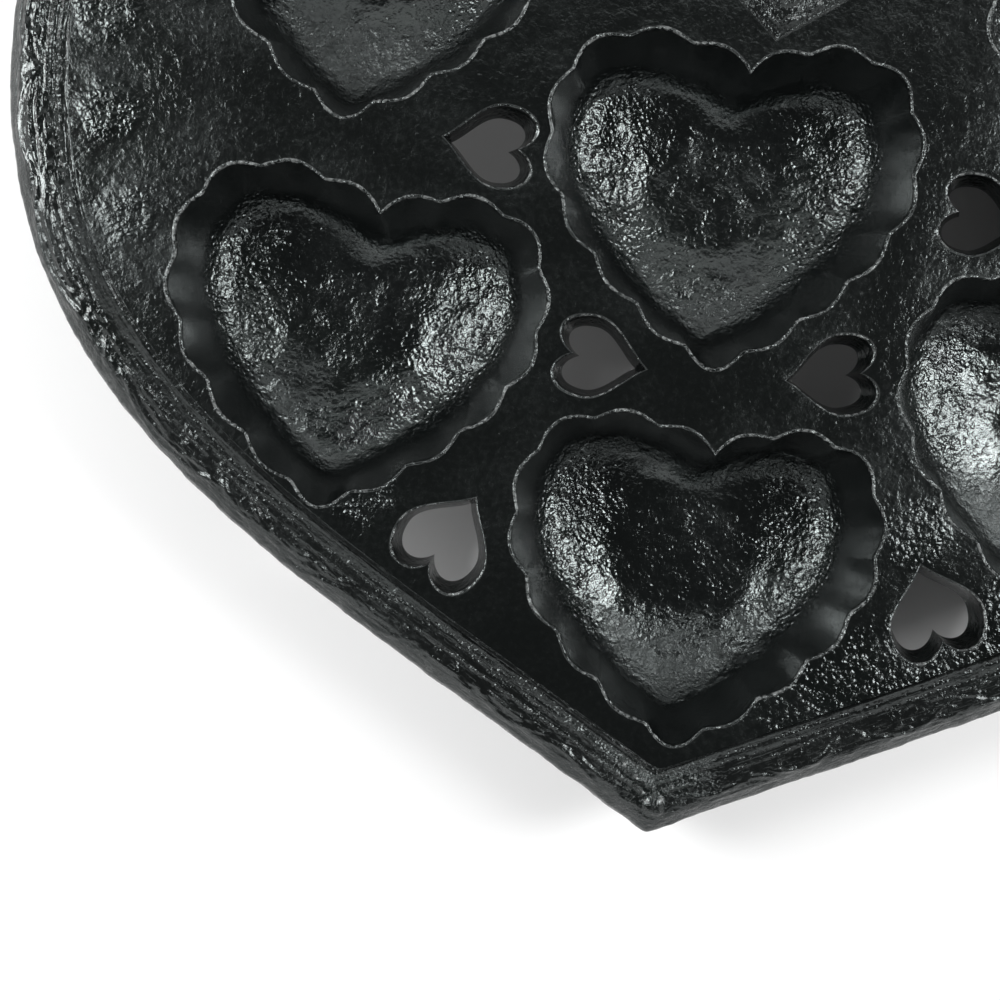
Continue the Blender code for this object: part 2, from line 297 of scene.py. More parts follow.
def mark(piece: bpy.types.Object, name: str, values: np.ndarray) -> None:
    """Store a number or a vector at each vertex, for the materials to read by this name."""
    kind, slot = ("FLOAT", "value") if values.ndim == 1 else ("FLOAT_VECTOR", "vector")
    attribute = piece.data.attributes.new(name, kind, "POINT")
    attribute.data.foreach_set(slot, values.astype(np.float32).ravel())


def vertex_places(piece: bpy.types.Object) -> np.ndarray:
    """Places of a piece's vertices, one a row."""
    places = np.zeros(len(piece.data.vertices) * 3, np.float32)
    piece.data.vertices.foreach_get("co", places)
    return places.reshape(-1, 3).astype(float)


def nearest_numbers(piece: bpy.types.Object, points: np.ndarray) -> np.ndarray:
    """For each vertex of a piece, the number of the nearest of some points."""
    tree = KDTree(len(points))
    for number, point in enumerate(points):
        tree.insert(point, number)
    tree.balance()
    return np.array([tree.find(vertex.co)[1] for vertex in piece.data.vertices])


def rounded(first: np.ndarray, corner: np.ndarray, last: np.ndarray, steps: int) -> list[np.ndarray]:
    """Rings that round a corner between two rings.

    Args:
        first: Ring where the rounding starts.
        corner: Ring that the sharp corner would have.
        last: Ring where the rounding ends.
        steps: Number of bands in the rounding.

    Returns:
        steps + 1 rings, the first and last ones included.
    """
    rings = []
    for share in np.linspace(0.0, 1.0, steps + 1):
        rest = 1.0 - share
        rings.append(rest * rest * first + 2.0 * rest * share * corner + share * share * last)
    return rings


def between(first: np.ndarray, last: np.ndarray, steps: int) -> list[np.ndarray]:
    """Rings at equal steps from one ring towards another, without either of the two."""
    return [first + (last - first) * number / steps for number in range(1, steps)]


# Shapes


@dataclass(frozen=True)
class Place:
    """Where something sits in the pan.

    Attributes:
        out: Distance to the right of the pan's axis.
        up: Distance from the tip of the pan.
        turn: Turn to the left in degrees.
    """

    out: float
    up: float
    turn: float

    def put(self, ring: np.ndarray) -> np.ndarray:
        """Turn a flat ring and move it from its own middle to its place in the pan."""
        angle = math.radians(self.turn)
        across = ring[:, 0] * math.cos(angle) - ring[:, 1] * math.sin(angle)
        upward = ring[:, 0] * math.sin(angle) + ring[:, 1] * math.cos(angle)
        middle = PanHeart.lobe_up / 2.0
        return np.stack([across + self.out, upward + self.up - middle], axis=1)


@dataclass(frozen=True)
class PanHeart:
    """Outline of the pan at the lower edge of its skirt, measured from the tip of the heart."""

    half_width: float = 0.1400
    widest_up: float = 0.1375
    lobe_out: float = 0.0740
    lobe_up: float = 0.2060
    notch_up: float = 0.1660
    tip_angle: float = math.radians(61.1)
    notch_angle: float = math.radians(52.0)
    tip_handle: float = 0.0853
    side_handle: float = 0.0769
    shoulder_handle: float = 0.0375
    crest_handle: float = 0.0360
    notch_handle: float = 0.0200
    corner_reach: float = 0.0600
    tip_round: float = 0.0009
    fine_steps: int = 600

    def right_side(self) -> np.ndarray:
        """The right side of the outline from tip to notch, in fine even steps."""
        half = self.lobe_up / 2.0
        tip = np.array([0.0, -half])
        wide = np.array([self.half_width, self.widest_up - half])
        crest = np.array([self.lobe_out, half])
        notch = np.array([0.0, self.notch_up - half])
        lean = np.array([math.sin(self.tip_angle), math.cos(self.tip_angle)])
        notch_lean = np.array([math.sin(self.notch_angle), math.cos(self.notch_angle)])
        upwards = np.array([0.0, 1.0])
        right = np.array([1.0, 0.0])
        stretches = (
            (tip, tip + self.tip_handle * lean, wide - self.side_handle * upwards, wide),
            (wide, wide + self.shoulder_handle * upwards, crest + self.crest_handle * right, crest),
            (crest, crest - self.crest_handle * right, notch + self.notch_handle * notch_lean, notch),
        )
        chain = np.concatenate([bezier(*stretch, self.fine_steps)[:-1] for stretch in stretches])
        return at_even_steps(np.vstack([chain, notch]), 3 * self.fine_steps)

    def drawn_in(self, inset: float, count: int) -> tuple[np.ndarray, np.ndarray]:
        """A closed ring at a distance inside the outline.

        Args:
            inset: The distance.
            count: Number of steps on each side of the pan.

        Returns:
            The ring's points, and for each the place along the outline that it faces, measured
            from the tip, above zero on the right side and below it on the left.
        """
        side = self.right_side()
        steps = np.linalg.norm(np.diff(side, axis=0), axis=1)
        lengths = np.concatenate([[0.0], np.cumsum(steps)])
        along = np.gradient(side, axis=0)
        along /= np.linalg.norm(along, axis=1)[:, None]
        inward = np.stack([-along[:, 1], along[:, 0]], axis=1)
        moved = side + inset * inward
        near_tip = lengths < self.corner_reach
        tip_start = np.interp(0.0, moved[near_tip, 0], lengths[near_tip])
        notch_extra = -moved[-1, 0] / along[-1, 0]
        even = np.linspace(0.0, lengths[-1], count + 1)
        tip_fade = np.clip(1.0 - even / self.corner_reach, 0.0, 1.0) ** 2
        notch_fade = np.clip(1.0 - (lengths[-1] - even) / self.corner_reach, 0.0, 1.0) ** 2
        facing = even + tip_start * tip_fade + notch_extra * notch_fade
        right = np.stack([np.interp(facing, lengths, moved[:, axis]) for axis in range(2)], axis=1)
        right += np.clip(facing - lengths[-1], 0.0, None)[:, None] * along[-1]
        soft = np.sqrt(right[:, 0] ** 2 + self.tip_round**2) - np.abs(right[:, 0])
        right[:, 1] += soft * (even < self.corner_reach) / math.tan(self.tip_angle)
        right[[0, -1], 0] = 0.0
        left = (right * np.array([-1.0, 1.0]))[-2:0:-1]
        return np.vstack([right, left]), np.concatenate([facing, -facing[-2:0:-1]])


@dataclass(frozen=True)
class Strand:
    """One strand of the twig: a long low ridge that wanders along the border.

    Attributes:
        start: Where it begins, measured along the outline from the tip.
        length: How far it runs.
        inset: Its distance inside the outline where it begins.
        drift: How much deeper inside it lies where it ends.
        bow: How far it bows sideways between its ends.
        width: Half its width.
        height: Its height.
    """

    start: float
    length: float
    inset: float
    drift: float
    bow: float
    width: float
    height: float
    crease_depth: ClassVar[float] = 0.35
    crease_away: ClassVar[float] = 1.3
    crease_width: ClassVar[float] = 0.7

    def at(self, along: np.ndarray, inset: np.ndarray) -> np.ndarray:
        """Height of the strand at places along and inside the outline, creased on its inner side."""
        share = np.clip((along - self.start) / self.length, 0.0, 1.0)
        middle = self.inset + self.drift * share + self.bow * np.sin(math.pi * share)
        slope = (self.drift + self.bow * math.pi * np.cos(math.pi * share)) / self.length
        away = (inset - middle) / np.sqrt(1.0 + slope * slope)
        swell = np.sqrt(4.0 * share * (1.0 - share))
        crease = hump(away - self.crease_away * self.width, self.crease_width * self.width)
        return self.height * swell * (hump(away, self.width) - self.crease_depth * crease)


@dataclass(frozen=True)
class Lump:
    """A leaf-like lump of bark.

    Attributes:
        along: Its middle, measured along the outline from the tip.
        inset: Its middle's distance inside the outline.
        lean: The angle between its length and the border.
        length: Half its length.
        width: Half its width.
        height: Its height.
    """

    along: float
    inset: float
    lean: float
    length: float
    width: float
    height: float
    crease_depth: ClassVar[float] = 0.45
    crease_away: ClassVar[float] = 0.9
    crease_width: ClassVar[float] = 0.5

    def at(self, along: np.ndarray, inset: np.ndarray) -> np.ndarray:
        """Height of the lump at places along and inside the outline, creased on its inner side."""
        first = along - self.along
        second = inset - self.inset
        lengthwise = first * math.cos(self.lean) + second * math.sin(self.lean)
        across = second * math.cos(self.lean) - first * math.sin(self.lean)
        body = hump(lengthwise, self.length) * hump(across, self.width)
        beside = across - self.crease_away * self.width
        crease = hump(lengthwise, self.length) * hump(beside, self.crease_width * self.width)
        return self.height * (body - self.crease_depth * crease)


@dataclass
class Twig:
    """The knotty twig along the outside of the border.

    Where the photograph shows it, each strand is given one by one, with sizes in millimetres in
    the order of Strand. Further round the pan arches and knots of the same kind are made by chance.
    """

    left_strands: tuple[tuple[float, ...], ...] = (
        (14.0, 16.5, 2.4, 0.3, 1.7, 0.61, 0.32),
        (8.0, 20.0, 5.8, 0.2, -1.5, 0.80, 0.30),
        (22.0, 5.5, 7.4, -3.2, 0.0, 0.62, 0.32),
        (26.5, 17.0, 5.9, -1.2, -2.7, 0.65, 0.34),
        (30.0, 12.0, 5.9, -0.6, -1.2, 0.62, 0.32),
        (46.6, 4.2, 3.0, 4.2, 0.0, 0.60, 0.31),
        (51.8, 2.0, 2.4, 4.6, 0.0, 0.56, 0.29),
        (57.5, 13.5, 5.2, -2.7, -2.1, 0.56, 0.29),
        (60.0, 12.0, 6.0, -1.2, -1.2, 0.62, 0.32),
        (73.5, 12.8, 4.2, -2.8, -0.2, 0.62, 0.32),
        (73.0, 9.0, 6.0, -0.8, -0.9, 0.75, 0.39),
        (82.0, 8.0, 5.6, -1.2, -0.7, 0.69, 0.36),
        (89.4, 3.4, 3.6, 2.4, 0.0, 0.56, 0.29),
        (93.0, 6.0, 3.9, 3.4, -0.3, 0.62, 0.32),
        (101.6, 5.4, 3.6, 3.8, -0.3, 0.65, 0.34),
        (113.0, 4.0, 5.0, 2.8, 0.0, 0.69, 0.36),
        (104.5, 29.0, 4.1, 0.9, -3.0, 0.70, 0.36),
        (108.0, 24.0, 5.0, 0.2, -2.5, 0.58, 0.30),
        (116.5, 17.0, 4.0, 2.0, 0.1, 0.90, 0.47),
        (136.4, 4.4, 3.2, 3.2, 0.2, 0.60, 0.31),
        (142.0, 3.6, 7.6, -3.6, 0.0, 0.60, 0.31),
        (143.4, 30.0, 4.4, 0.4, -2.9, 0.90, 0.47),
        (146.0, 26.0, 5.0, 0.2, -2.2, 0.52, 0.27),
        (148.6, 25.0, 6.0, 0.3, -1.7, 0.80, 0.42),
        (160.0, 14.0, 3.2, 2.8, -0.3, 0.43, 0.22),
        (162.0, 12.0, 4.2, 2.0, 0.0, 0.38, 0.20),
    )
    right_strands: tuple[tuple[float, ...], ...] = (
        (8.5, 15.0, 6.4, 0.3, -2.2, 0.72, 0.30),
        (16.5, 6.0, 3.4, 1.9, 0.2, 0.53, 0.28),
        (21.5, 5.6, 5.4, -2.0, 0.2, 0.56, 0.29),
        (26.0, 12.0, 5.2, 0.0, -1.6, 0.69, 0.36),
        (36.6, 3.8, 4.2, 2.9, 0.0, 0.62, 0.32),
        (43.0, 3.2, 7.2, -3.1, 0.0, 0.58, 0.30),
        (46.0, 13.0, 4.9, 0.0, -1.5, 0.69, 0.36),
        (57.6, 5.4, 4.0, 3.2, 0.3, 0.65, 0.34),
        (61.2, 9.4, 7.2, -3.6, 0.6, 0.58, 0.30),
        (66.0, 13.0, 5.6, 0.2, -2.2, 0.62, 0.32),
    )
    left_shown: float = 0.172
    right_shown: float = 0.077
    span: tuple[float, float] = (0.013, 0.027)
    foot: float = 0.0058
    inner_foot: float = 0.0062
    arch_bow: tuple[float, float] = (-0.0044, -0.0032)
    inner_bow: tuple[float, float] = (-0.0026, -0.0014)
    arch_drift: tuple[float, float] = (-0.0006, 0.0006)
    arch_overlap: float = 0.001
    knot_length: tuple[float, float] = (0.003, 0.005)
    knot_inset: tuple[float, float] = (0.0030, 0.0040)
    knot_drift: tuple[float, float] = (0.0026, 0.0036)
    strand_width: tuple[float, float] = (0.00055, 0.00080)
    strand_height: tuple[float, float] = (0.00028, 0.00040)
    knobbles_a_metre: float = 330.0
    knobble_inset: tuple[float, float] = (0.0028, 0.0070)
    knobble_lean: tuple[float, float] = (-1.2, 1.2)
    knobble_length: tuple[float, float] = (0.0007, 0.0014)
    knobble_width: tuple[float, float] = (0.00040, 0.00070)
    knobble_height: tuple[float, float] = (0.00014, 0.00030)

    def forms(self, side: float, reach: float) -> list[Strand | Lump]:
        """Strands and lumps of one side of the pan.

        Args:
            side: 1 for the right side and -1 for the left one.
            reach: Length of the outline on that side.

        Returns:
            The forms from the tip to the notch.
        """
        chance = np.random.default_rng(17 if side > 0.0 else 23)
        shown = self.right_strands if side > 0.0 else self.left_strands
        forms: list[Strand | Lump] = [Strand(*(number / 1000.0 for number in strand)) for strand in shown]
        start = self.right_shown if side > 0.0 else self.left_shown
        while start < reach - self.span[0]:
            run = chance.uniform(*self.span)
            forms += self.arches(start, run, chance)
            start += run
            forms += self.knot(start, chance)
        for _ in range(int(reach * self.knobbles_a_metre)):
            forms.append(self.knobble(chance.uniform(0.004, reach), chance))
        return forms

    def arches(self, start: float, run: float, chance: np.random.Generator) -> list[Strand]:
        """Nested strands that bow outwards between two knots."""
        made = []
        begin = start - self.arch_overlap
        length = run + 2.0 * self.arch_overlap
        for foot, bows in ((self.foot, self.arch_bow), (self.inner_foot, self.inner_bow)):
            drift = chance.uniform(*self.arch_drift)
            width = chance.uniform(*self.strand_width)
            height = chance.uniform(*self.strand_height)
            bow = chance.uniform(*bows)
            made.append(Strand(begin, length, foot, drift, bow, width, height))
        return made

    def knot(self, middle: float, chance: np.random.Generator) -> list[Strand]:
        """Two short strands that meet in a V where two arches do."""
        made = []
        for way in (-1.0, 1.0):
            length = chance.uniform(*self.knot_length)
            outer = chance.uniform(*self.knot_inset)
            drift = chance.uniform(*self.knot_drift)
            height = chance.uniform(*self.strand_height)
            start = middle - length if way < 0.0 else middle
            inset = outer if way < 0.0 else outer + drift
            made.append(Strand(start, length, inset, -way * drift, 0.0, self.strand_width[1], height))
        return made

    def knobble(self, middle: float, chance: np.random.Generator) -> Lump:
        """A small bump of bark somewhere on the twig."""
        inset = chance.uniform(*self.knobble_inset)
        lean = chance.uniform(*self.knobble_lean)
        length = chance.uniform(*self.knobble_length)
        width = chance.uniform(*self.knobble_width)
        return Lump(middle, inset, lean, length, width, chance.uniform(*self.knobble_height))


@dataclass
class BorderRows:
    """Rings of the border, from its lip inwards, and what their points carry for the material."""

    rings: list[np.ndarray] = field(default_factory=list)
    strands: list[np.ndarray] = field(default_factory=list)
    gaps: list[np.ndarray] = field(default_factory=list)
    shares: list[np.ndarray] = field(default_factory=list)
    skins: list[np.ndarray] = field(default_factory=list)
    dryness: list[np.ndarray] = field(default_factory=list)


@dataclass
class Border:
    """Skirt and ridged border, from the lip of the skirt inwards to the flat of the plate.

    The relief is a rustic one: a knotty twig runs along the outside, then come three beaded lines
    with smooth bands between them, and a groove that parts the border from the plate.
    """

    outline: PanHeart
    twig: Twig = field(default_factory=Twig)
    steps_a_side: int = 840
    lip_bottom: float = 0.0160
    width: float = 0.0118
    wall: float = 0.0036
    underside_run: float = 0.0056
    coarse_step: float = 0.00025
    fine_from: float = 0.0010
    fine_step: float = 0.00027
    ceiling: float = 0.0268
    section: tuple[tuple[float, float], ...] = (
        (0.0000, -0.0068),
        (0.0003, -0.0036),
        (0.0008, -0.0018),
        (0.0030, 0.0004),
        (0.0042, 0.0010),
        (0.0060, 0.0011),
        (0.0088, 0.0010),
    )
    band_top: float = 0.0009
    softness: float = 0.00030
    lines_left: tuple[float, float, float] = (0.0065, 0.0082, 0.0094)
    lines_right: tuple[float, float, float] = (0.0078, 0.0092, 0.0104)
    bead_height: float = 0.00030
    bead_width: float = 0.00030
    groove_left: float = 0.0107
    groove_right: float = 0.0112
    groove_depth: float = 0.00034
    groove_width: float = 0.00032
    edge_line: float = 0.0008
    edge_height: float = 0.00030
    knob_up: float = 0.0070
    knob_radius: float = 0.0021
    knob_height: float = 0.0008
    edge_waver: float = 0.00012
    groove_wander: float = 0.00025
    line_wander: float = 0.00028
    twig_waver: float = 0.00024
    twig_beading: float = 0.28
    fibre_height: float = 0.00007
    bark_height: float = 0.00016
    lump_height: float = 0.00008
    patch_height: float = 0.00030
    skirt_dryness: float = 0.8
    skirt_skin: float = 0.12
    twig_skin: float = 0.22
    band_skin: float = 0.06

    def groove(self, facing: np.ndarray) -> np.ndarray:
        """How far inside the outline the groove runs: a little deeper on the right side."""
        share = smooth_step(-0.008, 0.012, facing)
        wander = SoftNoise(50).at(facing / 0.021 + 40.0, np.zeros_like(facing))
        across = self.groove_right - self.groove_left
        return self.groove_left + across * share + self.groove_wander * wander

    def base(self, inset: float, groove: np.ndarray) -> np.ndarray:
        """Height of the plain border at one distance inside the outline.

        Args:
            inset: The distance.
            groove: Distance of the groove at each point of the ring.

        Returns:
            The height at each point.
        """
        runs = [run for run, _ in self.section]
        rises = [rise for _, rise in self.section]
        shifts = np.linspace(-1.0, 1.0, 7) * min(self.softness, inset)
        rise = float(np.mean(np.interp(inset + shifts, runs, rises)))
        to_band = smooth_step(0.0080, 0.0092, np.array(inset))
        rise = rise + (self.band_top - rise) * to_band
        return PLATE_TOP + rise * (1.0 - smooth_step(groove - 0.0026, groove + 0.0004, inset))

    def relief(
        self, ring: np.ndarray, facing: np.ndarray, inset: float, groove: np.ndarray
    ) -> np.ndarray:
        """Height that twig, lines, ridge, groove and knob add.

        Args:
            ring: The points, seen from above.
            facing: Place of each point along the outline, below zero on the left side.
            inset: Distance of the points from the outline.
            groove: Distance of the groove at each point.

        Returns:
            The added height at each point.
        """
        place = np.full_like(facing, inset)
        on_border = 1.0 - smooth_step(groove - 0.0010, groove - 0.0003, inset)
        height = self.twig_height(facing, inset)
        beads = 0.75 + 0.35 * SoftNoise(34).at(facing / 0.0012 + SHIFT, place / 0.001)
        lines = self.line_shares(facing, groove) * hump(self.line_gaps(facing, inset), self.bead_width)
        height += on_border * self.bead_height * beads * lines.max(axis=1)
        cut = smooth_step(0.160, 0.125, -facing) * 0.75 + 0.25
        height -= cut * self.groove_depth * hump(inset - groove, self.groove_width)
        edge_beads = 0.6 + 0.5 * SoftNoise(42).at(facing / 0.0007 + SHIFT, np.zeros_like(facing))
        by_tip = smooth_step(0.060, 0.045, np.abs(facing))
        near_edge = hump(inset - groove - self.edge_line, 2.0 * self.bead_width)
        height += by_tip * self.edge_height * edge_beads * near_edge
        fibres = smooth_step(0.0060, 0.0068, place) * on_border
        height += fibres * self.fibre_height * SoftNoise(61).at(facing / 0.0042 + SHIFT, place / 0.00055)
        bark = smooth_step(0.0026, 0.0034, place) * smooth_step(0.0072, 0.0062, place)
        height += bark * self.bark_height * SoftNoise(62).at(facing / 0.0013 + SHIFT, place / 0.00060)
        height += self.bead_patch(facing, place) * on_border
        lumps = SoftNoise(63).at(ring[:, 0] / 0.0052 + SHIFT, ring[:, 1] / 0.0052 + SHIFT)
        height += self.lump_height * lumps
        away = np.hypot(ring[:, 0], ring[:, 1] + PanHeart.lobe_up / 2.0 - self.knob_up)
        away = away + 0.0003 * SoftNoise(66).at(ring[:, 0] / 0.0012 + SHIFT, ring[:, 1] / 0.0012 + SHIFT)
        clear = 1.0 - smooth_step(self.knob_radius * 1.7, self.knob_radius * 1.1, away)
        knob = self.knob_height * np.clip(1.0 - (away / self.knob_radius) ** 2, -0.12, 1.0)
        knob = knob * smooth_step(self.knob_radius * 1.7, self.knob_radius * 1.1, away)
        edge = smooth_step(self.width, self.width - 0.0006, place)
        return (height * clear + knob * smooth_step(0.0, 0.0015, place)) * edge

    def line_gaps(self, facing: np.ndarray, inset: float) -> np.ndarray:
        """How far a ring lies from each bead line, one line a column."""
        share = smooth_step(-0.006, 0.007, facing)
        gaps = []
        for number, (left, right) in enumerate(zip(self.lines_left, self.lines_right)):
            wander = SoftNoise(30 + number).at(facing / 0.013 + 50.0, np.zeros_like(facing))
            gaps.append(inset - left - (right - left) * share - self.line_wander * wander)
        return np.stack(gaps, axis=1)

    def line_shares(self, facing: np.ndarray, groove: np.ndarray) -> np.ndarray:
        """How much of each bead line shows, one line a column: all of them near the tip."""
        shares = []
        for number, right in enumerate(self.lines_right):
            chance = SoftNoise(37 + number).at(facing / 0.020 + 20.0, np.zeros_like(facing))
            shown = np.maximum(smooth_step(-0.55, 0.1, chance), smooth_step(0.045, 0.030, np.abs(facing)))
            clear = smooth_step(0.0, 0.0004, groove - right) if number == 2 else np.ones_like(facing)
            shares.append(shown * clear)
        return np.stack(shares, axis=1)

    def bead_patch(self, facing: np.ndarray, place: np.ndarray) -> np.ndarray:
        """Clusters of small beads on the inner band, high up on the left side and here and there."""
        grains = SoftNoise(64).at(facing / 0.00075 + SHIFT, place / 0.00060)
        chosen = SoftNoise(65).at(facing / 0.011 + SHIFT, np.zeros_like(facing))
        high_left = smooth_step(0.158, 0.168, -facing) * smooth_step(0.192, 0.184, -facing)
        here = np.maximum(high_left, smooth_step(0.45, 0.70, chosen))
        band = smooth_step(0.0060, 0.0070, place)
        return here * band * self.patch_height * smooth_step(0.15, 0.65, grains)

    def twig_height(self, facing: np.ndarray, inset: float) -> np.ndarray:
        """Height of the twig: where strands and lumps overlap, the higher one shows."""
        reach = float(np.abs(facing).max())
        height = np.zeros_like(facing)
        for side in (-1.0, 1.0):
            here = facing * side >= 0.0
            place = facing[here]
            along = np.abs(place)
            slow = SoftNoise(45).at(place / 0.0035 + SHIFT, np.full_like(along, inset / 0.002))
            quick = SoftNoise(46).at(place / 0.0011 + SHIFT, np.full_like(along, inset / 0.0009))
            waver = self.twig_waver * slow
            beaded = 1.0 + self.twig_beading * quick
            tallest = np.zeros_like(along)
            pressed = np.zeros_like(along)
            for form in self.twig.forms(side, reach):
                part = form.at(along, inset + waver)
                tallest = np.maximum(tallest, part)
                pressed = np.minimum(pressed, part)
            height[here] = tallest * beaded + pressed
        return height

    def insets(self) -> np.ndarray:
        """Distances inside the outline at which the top of the border has a ring."""
        skirt = np.arange(0.0, self.fine_from, self.coarse_step)
        return np.concatenate([skirt, np.arange(self.fine_from, self.width, self.fine_step)])

    def inner_ring(self) -> np.ndarray:
        """The ring where the border meets the flat of the plate."""
        return ring_3d(self.outline.drawn_in(self.width, self.steps_a_side)[0], PLATE_TOP)

    def lower_ring(self) -> np.ndarray:
        """The ring where the skirt's inside meets the underside of the plate."""
        return ring_3d(self.outline.drawn_in(self.underside_run, self.steps_a_side)[0], PLATE_UNDERSIDE)

    def wavered(self, ring: np.ndarray, facing: np.ndarray, share: float) -> np.ndarray:
        """A ring whose edge wavers a little, as a fettled casting's does."""
        noise = SoftNoise(70).at(facing / 0.0050 + SHIFT, np.zeros_like(facing))
        noise = noise + 0.6 * SoftNoise(71).at(facing / 0.0014 + SHIFT, np.zeros_like(facing))
        return ring + outward_normals(ring) * (self.edge_waver * share * noise)[:, None]

    def build(self, material: bpy.types.Material) -> bpy.types.Object:
        """Make the border as one closed ring of iron."""
        rows = BorderRows()
        rim, facing = self.outline.drawn_in(0.0, self.steps_a_side)
        soft = np.full(len(rim), Skin.SOFT.value)
        self.add_row(rows, ring_3d(self.wavered(rim, facing, 1.0), self.lip_bottom), facing, 0.0, soft)
        for inset in self.insets():
            facing = self.add_top_row(rows, float(inset))
        inner = self.inner_ring()
        self.add_row(rows, inner, facing, self.width, Plate.skin_at(inner[:, :2]))
        self.add_row(rows, self.lower_ring(), facing, self.underside_run, soft)
        wall, facing = self.outline.drawn_in(self.wall, self.steps_a_side)
        self.add_row(rows, ring_3d(wall, self.lip_bottom), facing, self.wall, soft)
        piece = extrude_through("ridged_border", rows.rings, True)
        found = nearest_numbers(piece, np.vstack(rows.rings))
        mark(piece, SKIN_ATTRIBUTE, np.concatenate(rows.skins)[found])
        mark(piece, MATTE_ATTRIBUTE, np.concatenate(rows.dryness)[found])
        mark(piece, STRAND_MAP, np.vstack(rows.strands)[found])
        mark(piece, LINE_GAPS, np.vstack(rows.gaps)[found])
        mark(piece, LINE_SHARES, np.vstack(rows.shares)[found])
        finish_mesh(piece, material, 50.0)
        return piece

    def add_row(
        self, rows: BorderRows, ring: np.ndarray, facing: np.ndarray, inset: float, skin: np.ndarray
    ) -> None:
        """Add a ring that carries no bead line.

        Args:
            rows: The border's rings so far.
            ring: The new ring.
            facing: Place of each of its points along the outline.
            inset: Its distance inside the outline.
            skin: Share of pebbles at each point.
        """
        rows.rings.append(ring)
        rows.strands.append(self.strand_map(facing, inset))
        rows.gaps.append(self.line_gaps(facing, inset))
        rows.shares.append(np.zeros((len(ring), 3)))
        rows.skins.append(skin)
        rows.dryness.append(np.full(len(ring), self.skirt_dryness))

    def add_top_row(self, rows: BorderRows, inset: float) -> np.ndarray:
        """Add a ring of the border's top with its relief, and give the places that it faces."""
        ring, facing = self.outline.drawn_in(inset, self.steps_a_side)
        groove = self.groove(facing)
        height = self.base(inset, groove) + self.relief(ring, facing, inset, groove)
        fade = float(smooth_step(0.0030, 0.0010, np.array(inset)))
        waving = self.wavered(ring, facing, fade)
        on_plate = smooth_step(groove, groove + 0.0008, inset)
        own_skin = self.skin_at(inset)
        skin = own_skin + (Plate.skin_at(ring) - own_skin) * on_plate
        top = np.column_stack([waving, np.minimum(height, self.ceiling)])
        self.add_row(rows, top, facing, inset, skin)
        rows.shares[-1] = self.line_shares(facing, groove)
        rows.dryness[-1] *= float(smooth_step(0.0030, 0.0020, np.array(inset)))
        return facing

    def skin_at(self, inset: float) -> float:
        """Share of pebbles on the border: few on the skirt, most on the bands inside the twig."""
        rising = float(smooth_step(0.0022, 0.0032, np.array(inset)))
        falling = float(smooth_step(0.0062, 0.0074, np.array(inset)))
        return self.skirt_skin + self.twig_skin * rising + self.band_skin * falling

    def strand_map(self, facing: np.ndarray, inset: float) -> np.ndarray:
        """How far along and across the border each point of a ring lies, for the bark's grain."""
        reach = float(np.abs(facing).max())
        along = np.abs(facing)
        ends = smooth_step(0.0, 0.02, along) * smooth_step(reach, reach - 0.02, along)
        return np.column_stack([along, np.full(len(facing), inset), 0.02 * np.sign(facing) * ends])


